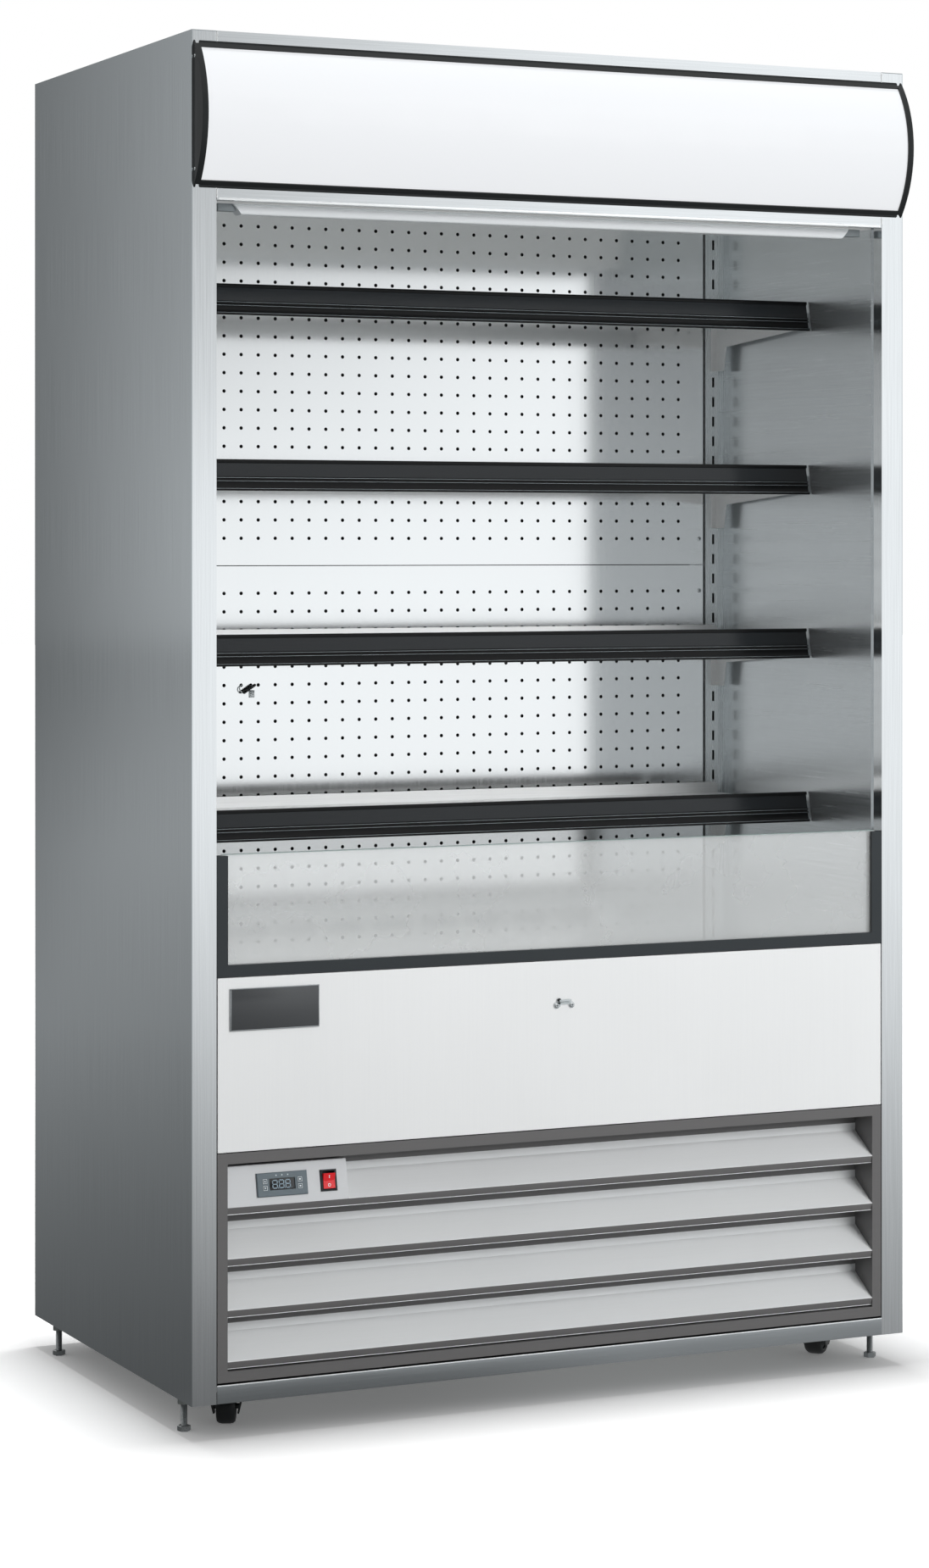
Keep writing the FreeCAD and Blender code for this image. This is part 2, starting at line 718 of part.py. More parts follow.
def price_rail(top):
    """Extruded rail: a rim, a tall label channel, two thin ribs, a low channel and a bottom lip."""
    steps = [(0, 5.0), (5.0, 5.0), (5.0, RAIL_WALL), (26.0, RAIL_WALL), (26.0, 4.5), (28.5, 4.5)]
    steps += [(28.5, RAIL_WALL), (31.0, RAIL_WALL), (31.0, 4.5), (33.5, 4.5), (33.5, RAIL_WALL)]
    steps += [(42.5, RAIL_WALL), (42.5, 6.0), (RAIL_HEIGHT, 6.0), (RAIL_HEIGHT, 0), (0, 0)]
    outline = [(back(rail_back(drop) - reach), top - drop) for drop, reach in steps]
    return along_x(outline, left(RAIL_FROM_SIDE), -left(RAIL_FROM_SIDE))


def shelf_tray(top):
    """Sheet tray: a rear upstand with cut corners, the shelf face and a front lip behind the rail."""
    face = top - RAIL_OVER_TRAY
    path = [
        (back(TRAY_REAR), face),
        (back(rail_back(RAIL_OVER_TRAY) + TRAY_BEND), face),
        (back(rail_back(RAIL_OVER_TRAY + TRAY_BEND)), face - TRAY_BEND),
        (back(rail_back(RAIL_OVER_TRAY + TRAY_LIP)), face - TRAY_LIP),
    ]
    tray = along_x(folded(path, SHEET), left(TRAY_FROM_SIDE), -left(TRAY_FROM_SIDE))
    x0 = left(TRAY_FROM_SIDE)
    high = face + UPSTAND
    outline = [
        (x0, face - SHEET),
        (x0, high - UPSTAND_CORNER),
        (x0 + UPSTAND_CORNER, high),
        (-x0 - UPSTAND_CORNER, high),
        (-x0, high - UPSTAND_CORNER),
        (-x0, face - SHEET),
    ]
    return fused([tray, along_y(outline, back(TRAY_REAR - SHEET), back(TRAY_REAR))])


def shelf_bracket(top):
    """Bracket that hangs in the upright's slots: gusset, tray seat, rear flange and hooks."""
    under = top - RAIL_OVER_TRAY - SHEET
    outer = BRACKET_FROM_SIDE
    inner = outer + BRACKET_FLANGE
    low = under - TAB_DROP
    clear = SHEET + BRACKET_SHEET / 2

    def front_edge(z):
        return back(rail_back(top - z) + clear)

    rear = back(UPRIGHT_FACE)
    gusset = along_x(
        [
            (front_edge(under), under),
            (rear, under),
            (rear, low),
            (rear - TAB_WIDTH, low),
            (rear - GUSSET_CORNER, under - GUSSET_REAR),
            (front_edge(under - GUSSET_FRONT), under - GUSSET_FRONT),
        ],
        left(outer),
        left(outer + BRACKET_SHEET),
    )
    slot_foot = under - GUSSET_SLOT_DROP
    cuts = []
    for reach in GUSSET_SLOTS:
        y = rear - reach
        slot_top = slot_foot + GUSSET_SLOT_WIDTH
        x = left(outer)
        cuts.append(box(x, x + BRACKET_SHEET, y, y + GUSSET_SLOT_LENGTH, slot_foot, slot_top))
    gusset = gusset.cut(Part.makeCompound(cuts))
    flange = box(left(outer), left(inner), rear - BRACKET_SHEET, rear, low, under)
    seat = box(
        left(outer), left(outer + BRACKET_SEAT), back(RAIL_BACK + 4), rear - 8, under - BRACKET_SHEET, under
    )
    pieces = [gusset, flange, seat]
    behind = rear + UPRIGHT_SHEET + HOOK_PLAY
    for drop in HOOK_DROPS:
        z = top - drop - SLOT_LENGTH / 2
        hook = [
            (rear - BRACKET_SHEET, z),
            (behind, z),
            (behind, z - HOOK_DROP),
            (behind + HOOK_LIP, z - HOOK_DROP),
            (behind + HOOK_LIP, z + HOOK_NECK),
            (rear - BRACKET_SHEET, z + HOOK_NECK),
        ]
        middle = left(SLOT_FROM_SIDE)
        pieces.append(along_x(hook, middle - BRACKET_SHEET / 2, middle + BRACKET_SHEET / 2))
    return fused(pieces)


def make_shelves():
    for number in range(1, SHELF_COUNT + 1):
        top = LOWEST_RAIL_TOP + (SHELF_COUNT - number) * SHELF_STEP
        node(f"shelf_{number}", [shelf_tray(top)] + both_sides(shelf_bracket(top)))
        node(f"price_rail_{number}", [price_rail(top)])


# ---------------------------------------------------------------- deck, glass and front panel
def make_front():
    rear = back(UPRIGHT_FACE - SEAM)
    deck_path = [
        (back(DECK_FRONT), DECK_TOP - DECK_FLANGE),
        (back(DECK_FRONT), DECK_TOP),
        (rear, DECK_TOP),
        (rear, DECK_TOP - DECK_FLANGE),
    ]
    deck = along_x(folded(deck_path[::-1], SHEET), left(SIDE_WALL), LINER_X)

    low = (back(DECK_FRONT), DECK_TOP)
    high = (back(WELL_FRONT_WALL), DECK_TOP + GRILLE_RISE)
    grille_path = [(low[0], DECK_TOP - DECK_FLANGE), low, high, (high[0], high[1] - DECK_FLANGE)]
    grille = along_x(folded(grille_path, SHEET), left(SIDE_WALL), LINER_X)
    cuts = []
    pitch = (WIDTH - 2 * SIDE_WALL - 40) / RETURN_SLOTS
    for i in range(RETURN_SLOTS):
        x = left(SIDE_WALL + 20) + i * pitch
        cuts.append(box(x + 5, x + pitch - 5, low[0] - 38, low[0] - 12, DECK_TOP + 2, high[1] + 5))
    node("deck_and_return_grille", [deck, grille.cut(Part.makeCompound(cuts))])

    x0 = left(PILLAR_FACE + 2)
    pan = box(x0, -x0, FRONT, back(20), FRONT_PANEL_BOTTOM, FRONT_PANEL_TOP)
    hollow = box(
        x0 + SHEET, -x0 - SHEET, back(SHEET), back(21), FRONT_PANEL_BOTTOM + SHEET, FRONT_PANEL_TOP - SHEET
    )
    node("front_panel", [pan.cut(hollow)])
    node("front_panel_fittings", front_panel_fittings())

    channel_low = FRONT_PANEL_TOP + 1
    outer = PILLAR_FACE + SEAM
    groove_front = GLASS_FRONT - GLASS_PLAY
    groove_back = GLASS_FRONT + GLASS + GLASS_PLAY
    upright = box(
        left(outer), left(outer + CHANNEL_WIDTH), FRONT, back(CHANNEL_DEPTH), channel_low, GLASS_CHANNEL_TOP
    )
    upright = upright.cut(
        box(
            left(outer + CHANNEL_WALL),
            left(outer + CHANNEL_WIDTH + 1),
            back(groove_front),
            back(groove_back),
            channel_low,
            GLASS_CHANNEL_TOP + 1,
        )
    )
    mitre = along_y(
        [
            (left(outer), channel_low),
            (left(outer + CHANNEL_WIDTH), channel_low),
            (left(outer + CHANNEL_WIDTH), channel_low + CHANNEL_WIDTH),
        ],
        FRONT,
        back(CHANNEL_DEPTH),
    )
    upright = upright.cut(mitre)
    bottom = along_y(
        [
            (left(outer), channel_low),
            (-left(outer), channel_low),
            (-left(outer + CHANNEL_WIDTH), channel_low + CHANNEL_WIDTH),
            (left(outer + CHANNEL_WIDTH), channel_low + CHANNEL_WIDTH),
        ],
        FRONT,
        back(CHANNEL_DEPTH),
    )
    bottom = bottom.cut(
        box(
            left(outer),
            -left(outer),
            back(groove_front),
            back(groove_back),
            channel_low + CHANNEL_WALL,
            channel_low + CHANNEL_WIDTH + 1,
        )
    )
    node("glass_channels", both_sides(upright) + [bottom])

    gx = left(outer + CHANNEL_WALL + GLASS_PLAY)
    glass = along_y(
        [
            (gx, channel_low + CHANNEL_WALL),
            (-gx, channel_low + CHANNEL_WALL),
            (-gx, GLASS_TOP - GLASS_CORNER),
            (-gx - GLASS_CORNER, GLASS_TOP),
            (gx + GLASS_CORNER, GLASS_TOP),
            (gx, GLASS_TOP - GLASS_CORNER),
        ],
        back(GLASS_FRONT),
        back(GLASS_FRONT + GLASS),
    )
    node("front_glass", [glass])


def front_panel_fittings():
    """Blank plate at the left of the front panel, and the catch that holds the curtain down."""
    x0 = left(PLATE_FROM_SIDE)
    plate = box(x0, x0 + PLATE_WIDTH, FRONT - PLATE, FRONT, PLATE_LOW, PLATE_TOP)
    edges = [e for e in plate.Edges if e.BoundBox.YMax < FRONT - PLATE + 0.01]
    plate = plate.makeChamfer(1.2, edges)
    x = left(CATCH_AT)
    z = CATCH_LEVEL
    half = CATCH_SCREWS / 2 + 6
    strap = box(x - half, x + half, FRONT - 1.5, FRONT, z - 5, z + 9)
    tab = box(x - 4, x + 6, FRONT - 5, FRONT - 1.5, z + 3, z + 9)
    return [plate, fused([strap, tab])]


# ---------------------------------------------------------------- louvre
def make_louvre():
    outer = PILLAR_FACE + 1.5
    x0, x1 = left(outer), -left(outer)
    z0, z1 = LOUVRE_BOTTOM, LOUVRE_TOP
    w = LOUVRE_WIDTH

    rear = back(LOUVRE_DEPTH)
    side_path = [(x0, back(20)), (x0, FRONT), (x0 + w, FRONT), (x0 + w, rear)]
    side_mitre = along_y([(x0, z0), (x0, z1), (x0 + w, z1 - w), (x0 + w, z0 + w)], FRONT, rear)
    side = along_z(folded(side_path, SHEET), z0, z1).common(side_mitre)
    top_path = [(back(20), z1), (FRONT, z1), (FRONT, z1 - w), (rear, z1 - w)]
    top_mitre = along_y([(x0, z1), (x1, z1), (x1 - w, z1 - w), (x0 + w, z1 - w)], FRONT, rear)
    top = along_x(folded(top_path, SHEET), x0, x1).common(top_mitre)
    bottom = top.mirror(Vector(0, 0, (z0 + z1) / 2), Vector(0, 0, 1))
    node("louvre_frame", both_sides(side) + [top, bottom])

    slats = []
    for i in range(SLAT_COUNT):
        z = TOP_SLAT - i * SLAT_PITCH
        start = left(PANEL_RIGHT + 0.2) if i == 0 else x0 + w + 0.2
        slats.append(slat(z, start, x1 - w - 0.2))
    node("louvre_slats", slats)


def slat(z, x0, x1):
    """Folded slat: front lip, sloping face, and a rear flange with a hemmed top."""
    rear = back(SLAT_RUN)
    top = z + SLAT_RISE + SLAT_FLANGE
    path = [(rear, top), (rear, z + SLAT_RISE), (back(0.5), z), (back(3.0), z - SLAT_LIP)]
    hem = box(x0, x1, rear - SHEET, rear, top - SLAT_HEM, top)
    return fused([along_x(folded(path, SHEET), x0, x1), hem])


# ---------------------------------------------------------------- control panel
def on_panel(shape, at):
    """Turns a piece drawn round its own middle, face towards -Y, onto the leaning control panel."""
    middle = CONTROL_HEIGHT / math.cos(math.radians(CONTROL_TILT))
    shape.translate(Vector(left(at), 0, middle))
    shape.rotate(Vector(0, 0, 0), Vector(1, 0, 0), -CONTROL_TILT)
    shape.translate(Vector(0, back(0.5), TOP_SLAT))
    return shape


def make_control_panel():
    z = TOP_SLAT
    y = back(0.5)
    top = z + PANEL_RISE
    path = [(y + 2.5, z - SLAT_LIP), (y, z), (y + PANEL_LEAN, top), (y + SLAT_RUN, top)]
    x0 = left(PILLAR_FACE + 1.5 + LOUVRE_WIDTH + 0.2)
    plate = along_x(folded(path[::-1], SHEET), x0, left(PANEL_RIGHT))
    cheek = along_x(
        [(y + 0.2, z), (y + PANEL_LEAN, top), (y + SLAT_RUN, top), (y + SLAT_RUN, z + SLAT_RISE)],
        left(PANEL_RIGHT - SHEET),
        left(PANEL_RIGHT),
    )
    plate = fused([plate, cheek])
    body = CONTROLLER_BODY + 0.4
    height = CONTROLLER_BODY_HEIGHT + 0.4
    opening = on_panel(box(-body / 2, body / 2, -5, 5, -height / 2, height / 2), CONTROLLER_AT)
    width = SWITCH_WIDTH - 3
    height = SWITCH_HEIGHT - 3
    opening_2 = on_panel(box(-width / 2, width / 2, -5, 5, -height / 2, height / 2), SWITCH_AT)
    node("control_panel", [plate.cut(Part.makeCompound([opening, opening_2]))])

    make_controller()
    make_switch()


BUTTONS = {
    "button_up": (-BUTTON_COLUMN, BUTTON_ROW),
    "button_down": (-BUTTON_COLUMN, -BUTTON_ROW),
    "button_lamp": (BUTTON_COLUMN, BUTTON_ROW),
    "button_set": (BUTTON_COLUMN, -BUTTON_ROW),
}


def make_controller():
    """Panel-mounted temperature controller: bezel, body behind it, window and button pockets."""
    w = CONTROLLER_WIDTH / 2
    h = CONTROLLER_HEIGHT / 2
    bezel = box(-w, w, -BEZEL, 0, -h, h)
    bezel = bezel.makeChamfer(1.0, [e for e in bezel.Edges if e.BoundBox.YMax < -BEZEL + 0.01])
    bw = CONTROLLER_BODY / 2
    bh = CONTROLLER_BODY_HEIGHT / 2
    body = box(-bw, bw, 0, CONTROLLER_BODY_DEPTH, -bh, bh)
    shape = fused([bezel, body])
    ww = WINDOW_WIDTH / 2
    wh = WINDOW_HEIGHT / 2
    window = box(-ww, ww, -BEZEL - 1, -BEZEL + WINDOW_DEPTH, -wh, wh)
    half = BUTTON / 2 + BUTTON_PLAY
    pocket = BUTTON_DEPTH + BUTTON_TRAVEL + 0.4
    cuts = [window]
    for x, z in BUTTONS.values():
        cuts.append(box(x - half, x + half, -BEZEL - 1, -BEZEL + pocket, z - half, z + half))
    node("controller", [on_panel(shape.cut(Part.makeCompound(cuts)), CONTROLLER_AT)])

    b = BUTTON / 2
    for name, (x, z) in BUTTONS.items():
        cap = box(x - b, x + b, -BEZEL - BUTTON_PROUD, -BEZEL + BUTTON_DEPTH, z - b, z + b)
        cap = cap.makeChamfer(0.4, [e for e in cap.Edges if e.BoundBox.YMax < -BEZEL - BUTTON_PROUD + 0.01])
        node(name, [on_panel(cap, CONTROLLER_AT)])


def make_switch():
    """Rocker switch: a snap-in housing and the rocker that tilts on a pin inside it."""
    w = SWITCH_WIDTH / 2
    h = SWITCH_HEIGHT / 2
    rim = box(-w, w, -SWITCH_BEZEL, 0, -h, h)
    rim = rim.makeChamfer(0.8, [e for e in rim.Edges if e.BoundBox.YMax < -SWITCH_BEZEL + 0.01])
    bw = w - 1.7
    bh = h - 1.7
    body = box(-bw, bw, 0, SWITCH_BODY_DEPTH, -bh, bh)
    housing = fused([rim, body])
    pw = ROCKER_WIDTH / 2 + ROCKER_PLAY
    ph = ROCKER_HEIGHT / 2 + 2.2
    pocket = box(-pw, pw, -SWITCH_BEZEL - 1, ROCKER_DEPTH + 4, -ph, ph)
    pin = cylinder(ROCKER_PIN, 2 * pw, Vector(-pw, 2.0, 0), Vector(1, 0, 0))
    node("rocker_housing", [on_panel(fused([housing.cut(pocket), pin]), SWITCH_AT)])

    rh = ROCKER_HEIGHT / 2
    rw = ROCKER_WIDTH / 2
    tilt = math.radians(ROCKER_TILT)
    face = -SWITCH_BEZEL - 1.0
    dip = rh * math.tan(tilt)
    outline = [
        (face, 0),
        (face - dip, rh),
        (ROCKER_DEPTH - 5, rh - 1.0),
        (ROCKER_DEPTH, 3.0),
        (ROCKER_DEPTH, -3.0),
        (ROCKER_DEPTH - 5, -rh + 1.0),
        (face - dip, -rh),
    ]
    rocker = along_x(outline, -rw, rw)
    bore = cylinder(ROCKER_PIN + RUNNING_PLAY, ROCKER_WIDTH + 2, Vector(-rw - 1, 2.0, 0), Vector(1, 0, 0))
    rocker = rocker.cut(bore)
    rocker.rotate(Vector(0, 2.0, 0), Vector(1, 0, 0), ROCKER_TILT)
    node("power_rocker", [on_panel(rocker, SWITCH_AT)])


# ---------------------------------------------------------------- base
def corners(from_side, from_front, from_back):
    """The four places of a caster or foot: name, x and y."""
    front, rear = back(from_front), BACK - from_back
    return [
        ("front_left", left(from_side), front),
        ("front_right", -left(from_side), front),
        ("rear_left", left(from_side), rear),
        ("rear_right", -left(from_side), rear),
    ]


def hexagon(x, y, across, z0, z1):
    r = across / math.sqrt(3)
    points = [
        (x + r * math.cos(math.radians(60 * i)), y + r * math.sin(math.radians(60 * i))) for i in range(6)
    ]
    return along_z(points, z0, z1)


def make_base():
    kick_path = [
        (back(KICK_DEPTH), BODY_BOTTOM),
        (back(-1.0), BODY_BOTTOM),
        (back(-1.0), KICK_TOP),
        (back(KICK_DEPTH), KICK_TOP),
    ]
    edge = PILLAR_FACE + SEAM
    node("kick_plate", [along_x(folded(kick_path[::-1], SHEET), left(edge), -left(edge))])

    rail_path = [
        (left(SIDE_WALL - 1), BASE_TOP),
        (left(SHEET), BASE_TOP),
        (left(SHEET), BASE_RAIL_BOTTOM),
        (left(SIDE_WALL - 1), BASE_RAIL_BOTTOM),
    ]
    rail = along_y(folded(rail_path, BASE_SHEET), back(JAMB_DEPTH + 2), BACK - SHEET)
    feet = corners(FOOT_FROM_SIDE, FOOT_FROM_FRONT, FOOT_FROM_BACK)
    nuts = [hexagon(x, y, FOOT_HEAD, BASE_RAIL_BOTTOM - NUT_HEIGHT, BASE_RAIL_BOTTOM) for _, x, y in feet]
    low = BASE_RAIL_BOTTOM - NUT_HEIGHT
    holes = [
        cylinder(FOOT_THREAD + THREAD_PLAY, NUT_HEIGHT + BASE_SHEET, Vector(x, y, low), Vector(0, 0, 1))
        for _, x, y in feet
    ]
    rails = [
        fused([side_rail, nuts[i], nuts[i + 2]]).cut(Part.makeCompound(holes))
        for i, side_rail in enumerate(both_sides(rail))
    ]
    floor = box(
        left(SHEET), -left(SHEET), back(JAMB_DEPTH + 2), BACK - SHEET, BASE_TOP, BASE_TOP + BASE_SHEET
    )
    node("base_frame", rails + [floor])

    for name, x, y in feet:
        head = hexagon(x, y, FOOT_HEAD, 0, FOOT_HEAD_HEIGHT)
        top = BASE_TOP - BASE_SHEET - FOOT_UP - 1
        thread = cylinder(FOOT_THREAD, top, Vector(x, y, 0), Vector(0, 0, 1))
        node(f"levelling_foot_{name}", [fused([head, thread])])

    make_casters()


def make_casters():
    """Two swivel casters at the front and two fixed ones at the rear."""
    under = BASE_TOP - CASTER_PLATE_SHEET
    crown = under - SWIVEL_GAP
    bore = cylinder(KINGPIN_RADIUS + RUNNING_PLAY, 20, Vector(0, 0, crown - 10), Vector(0, 0, 1))
    plates = []
    for name, x, y in corners(CASTER_FROM_SIDE, CASTER_FROM_FRONT, CASTER_FROM_BACK):
        swing = CASTER_SWINGS.get(name)
        half = CASTER_PLATE / 2
        plate = box(-half, half, -half, half, under, BASE_TOP)
        if swing is None:
            swing = 0
            plate = fused([plate, caster_fork(under)])
        else:
            plate = fused([plate, kingpin(under)])
            node(f"caster_fork_{name}", [swivelled(caster_fork(crown).cut(bore), swing, x, y)])
        plates.append(swivelled(plate, 0, x, y))
        node(f"caster_wheel_{name}", [swivelled(caster_wheel(), swing, x, y)])
    node("caster_plates", plates)


def kingpin(under):
    """Pin that a swivel caster's fork turns on, with the nut that holds the fork."""
    low = under - FORK_SHEET - 2 * SWIVEL_GAP
    pin = cylinder(KINGPIN_RADIUS, under - low, Vector(0, 0, low), Vector(0, 0, 1))
    return fused([pin, hexagon(0, 0, KINGPIN_NUT, low - 3.0, low)])


def swivelled(shape, swing, x, y):
    """Turns a caster piece, drawn round its kingpin and trailing to the rear, and puts it in place."""
    shape.rotate(Vector(0, 0, 0), Vector(0, 0, 1), swing)
    shape.translate(Vector(x, y, 0))
    return shape


def caster_fork(top):
    """Pressed fork with splayed shoulders below a given height, and its axle riveted through the legs."""
    wide = FORK_WIDTH / 2
    narrow = FORK_FOOT_WIDTH / 2
    path = [(-narrow, FORK_FOOT), (-wide, FORK_SHOULDER), (-wide, top), (wide, top), (wide, FORK_SHOULDER)]
    path.append((narrow, FORK_FOOT))
    front = -KINGPIN_NUT - 1
    rear = CASTER_TRAIL + 10
    pressing = along_y(folded(path[::-1], FORK_SHEET), front, rear)
    side_view = [
        (front, top),
        (rear - 6, top),
        (rear, FORK_SHOULDER - 6),
        (rear - 3, FORK_FOOT),
        (rear - 17, FORK_FOOT),
        (front, FORK_SHOULDER),
    ]
    pressing = pressing.common(along_x(side_view, -wide, wide))
    length = FORK_FOOT_WIDTH
    axle = cylinder(AXLE_RADIUS, length, Vector(-length / 2, CASTER_TRAIL, WHEEL_RADIUS), Vector(1, 0, 0))
    return fused([pressing, axle])


def caster_wheel():
    start = Vector(-WHEEL_WIDTH / 2, CASTER_TRAIL, WHEEL_RADIUS)
    tread = cylinder(WHEEL_RADIUS, WHEEL_WIDTH, start, Vector(1, 0, 0))
    return tread.cut(cylinder(AXLE_RADIUS + RUNNING_PLAY, WHEEL_WIDTH, start, Vector(1, 0, 0)))


# ---------------------------------------------------------------- refrigeration set
def fan(x, y, z, radius):
    """Axial fan that turns about an axis along Y."""
    hub_length = 24.0
    turns = [math.radians(180.0 * (i + 0.5) / FAN_BLADES) for i in range(2 * FAN_BLADES)]
    rim = [(x + FAN_HUB * math.sin(turn), z + FAN_HUB * math.cos(turn)) for turn in turns]
    hub = along_y(rim, y - hub_length / 2, y + hub_length / 2)
    blades = []
    for i in range(FAN_BLADES):
        blade = along_z(
            [(-0.24 * radius, -1.2), (0.24 * radius, -1.2), (0.24 * radius, 1.2), (-0.24 * radius, 1.2)],
            FAN_HUB * 0.8,
            radius,
        )
        blade.rotate(Vector(0, 0, 0), Vector(0, 0, 1), BLADE_PITCH)
        blade.rotate(Vector(0, 0, 0), Vector(0, 1, 0), 360.0 * i / FAN_BLADES)
        blade.translate(Vector(x, y, z))
        blades.append(blade)
    return fused([hub] + blades)


def finned_block(x0, x1, y0, y1, z0, z1, fins, grow):
    """Coil: a core with upright fins that stand out of its front and back."""
    core = box(x0, x1, y0 + grow, y1 - grow, z0, z1)
    pitch = (x1 - x0) / fins
    parts = [core]
    for i in range(fins + 1):
        x = x0 + i * pitch * (fins * pitch - 3) / (fins * pitch)
        parts.append(box(x, x + 3, y0, y1, z0, z1))
    return fused(parts)


def make_refrigeration():
    floor = BASE_TOP + BASE_SHEET
    cz = floor + CONDENSER_FAN_RISE + CONDENSER_HEIGHT / 2
    cx = CONDENSER_AT
    x0, x1 = cx - CONDENSER_WIDTH / 2, cx + CONDENSER_WIDTH / 2
    y0 = back(CONDENSER_FRONT)
    y1 = y0 + CONDENSER_THICKNESS
    y2 = y1 + SHROUD_DEPTH
    top = floor + CONDENSER_HEIGHT
    coil = finned_block(x0, x1, y0, y1, floor, top, CONDENSER_FINS, COIL_TUBE_INSET)
    t = SHROUD_SHEET
    shroud = box(x0, x1, y1, y2, floor, top)
    shroud = shroud.cut(box(x0 + t, x1 - t, y1, y2 - t, floor + t, top - t))
    fan_opening = cylinder(CONDENSER_FAN + FAN_GAP, SHROUD_DEPTH, Vector(cx, y2 - 2 * t, cz), Vector(0, 1, 0))
    fan_y = y2 - t / 2
    half = CONDENSER_MOTOR / 2
    y3 = fan_y + MOTOR_BEHIND_FAN
    y4 = y3 + CONDENSER_MOTOR_LENGTH
    motor = box(cx - half, cx + half, y3, y4, cz - half, cz + half)
    half_stand = MOTOR_STAND / 2
    inset = MOTOR_STAND_INSET
    stand = box(cx - half_stand, cx + half_stand, y3 + inset, y4 - inset, floor, cz - half)
    node("condenser_unit", [coil, shroud.cut(fan_opening), fused([motor, stand])])
    node("condenser_fan", [fan(cx, fan_y, cz, CONDENSER_FAN)])

    make_compressor_bay(floor)
    make_evaporator()


def make_compressor_bay(floor):
    """Compressor on its rubber grommets, drip tray behind the condenser and wiring box."""
    x = COMPRESSOR_AT
    y = back(COMPRESSOR_FROM_FRONT)
    foot = floor + GROMMET_HEIGHT + 4
    can = cylinder(COMPRESSOR_RADIUS, COMPRESSOR_HEIGHT - 30, Vector(x, y, foot), Vector(0, 0, 1))
    dome = cylinder(COMPRESSOR_RADIUS - 12, COMPRESSOR_HEIGHT, Vector(x, y, foot), Vector(0, 0, 1))
    half = COMPRESSOR_PLATE / 2
    plate = box(x - half, x + half, y - 60, y + 60, floor + GROMMET_HEIGHT, foot)
    grommets = []
    for dx in (GROMMET / 2 - half + 5, half - GROMMET / 2 - 5):
        for dy in (-45, 45):
            gx = x + dx - GROMMET / 2
            gy = y + dy - GROMMET / 2
            grommets.append(box(gx, gx + GROMMET, gy, gy + GROMMET, floor, floor + GROMMET_HEIGHT))

    y0, y1 = back(DRIP_TRAY_FRONT), back(DRIP_TRAY_REAR)
    rim = floor + DRIP_TRAY_HEIGHT
    tray_path = [(y0, rim), (y0, floor), (y1, floor), (y1, rim)]
    tray = [along_x(folded(tray_path, DRIP_TRAY_SHEET), DRIP_TRAY_LEFT, DRIP_TRAY_RIGHT)]
    for end in (DRIP_TRAY_LEFT - DRIP_TRAY_SHEET, DRIP_TRAY_RIGHT):
        tray.append(box(end, end + DRIP_TRAY_SHEET, y0, y1, floor, rim))
    x0, front = left(WIRING_FROM_SIDE), back(WIRING_FROM_FRONT)
    wiring = box(x0, x0 + WIRING_WIDTH, front, front + WIRING_DEPTH, floor, floor + WIRING_HEIGHT)
    node("compressor_bay", [fused([can, dome, plate])] + grommets + [fused(tray), wiring])


def make_evaporator():
    low = WELL_FLOOR + EVAPORATOR_FEET
    coil = finned_block(
        -EVAPORATOR_WIDTH / 2,
        EVAPORATOR_WIDTH / 2,
        back(EVAPORATOR_FRONT),
        back(EVAPORATOR_FRONT + EVAPORATOR_DEPTH),
        low,
        low + EVAPORATOR_HEIGHT,
        EVAPORATOR_FINS,
        COIL_TUBE_INSET,
    )
    legs = [
        box(x, x + 20, back(EVAPORATOR_FRONT + 20), back(EVAPORATOR_FRONT + 150), WELL_FLOOR, low)
        for x in (-EVAPORATOR_WIDTH / 2 + 30, EVAPORATOR_WIDTH / 2 - 50)
    ]
    plate_y = back(FAN_PLATE_AT)
    plate = box(left(SIDE_WALL), LINER_X, plate_y, plate_y + 2, WELL_FLOOR, DECK_TOP - SHEET)
    fan_z = (WELL_FLOOR + DECK_TOP) / 2
    motors = []
    for x in (-EVAPORATOR_FAN_AT, EVAPORATOR_FAN_AT):
        plate = plate.cut(
            cylinder(EVAPORATOR_FAN + FAN_GAP, 20, Vector(x, plate_y - 10, fan_z), Vector(0, 1, 0))
        )
        can = box(x - 24, x + 24, plate_y + 16, plate_y + 61, fan_z - 24, fan_z + 24)
        stay = box(x - 15, x + 15, plate_y + 20, plate_y + 50, WELL_FLOOR, fan_z - 24)
        motors.append(fused([can, stay]))
    node("evaporator_unit", [coil, plate] + legs + motors)
    node("evaporator_fan_left", [fan(-EVAPORATOR_FAN_AT, plate_y + 1, fan_z, EVAPORATOR_FAN)])
    node("evaporator_fan_right", [fan(EVAPORATOR_FAN_AT, plate_y + 1, fan_z, EVAPORATOR_FAN)])


def make_sensor():
    """Clip on the lower back panel that holds the air temperature probe clear of the sheet."""
    x = left(SENSOR_AT)
    y = back(BACK_PANEL_FACE)
    z = SENSOR_LEVEL
    foot = box(x - 9, x + 9, y - 1.5, y, z - 7, z + 7)
    stem = box(x - 3, x + 3, y - 12, y - 1.5, z - 4, z + 4)
    sleeve = box(x - 13, x + 13, y - 18, y - 12, z - 3, z + 4)
    node("sensor_clip", [fused([foot, stem, sleeve])])


make_casing()
make_header()
make_canopy()
make_top_fittings()
make_curtain()
make_back_wall()
make_shelves()
make_front()
make_louvre()
make_control_panel()
make_base()
make_refrigeration()
make_sensor()

os.makedirs("parts", exist_ok=True)
for name, shape in SHAPES.items():
    shape.exportStep(f"parts/{name}.step")
    print(name, "solids", len(shape.Solids), "valid", shape.isValid())
print(len(SHAPES), "nodes")
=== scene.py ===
import logging
import math
from abc import ABC, abstractmethod
from collections.abc import Iterable, Sequence
from dataclasses import dataclass, field
from enum import Enum

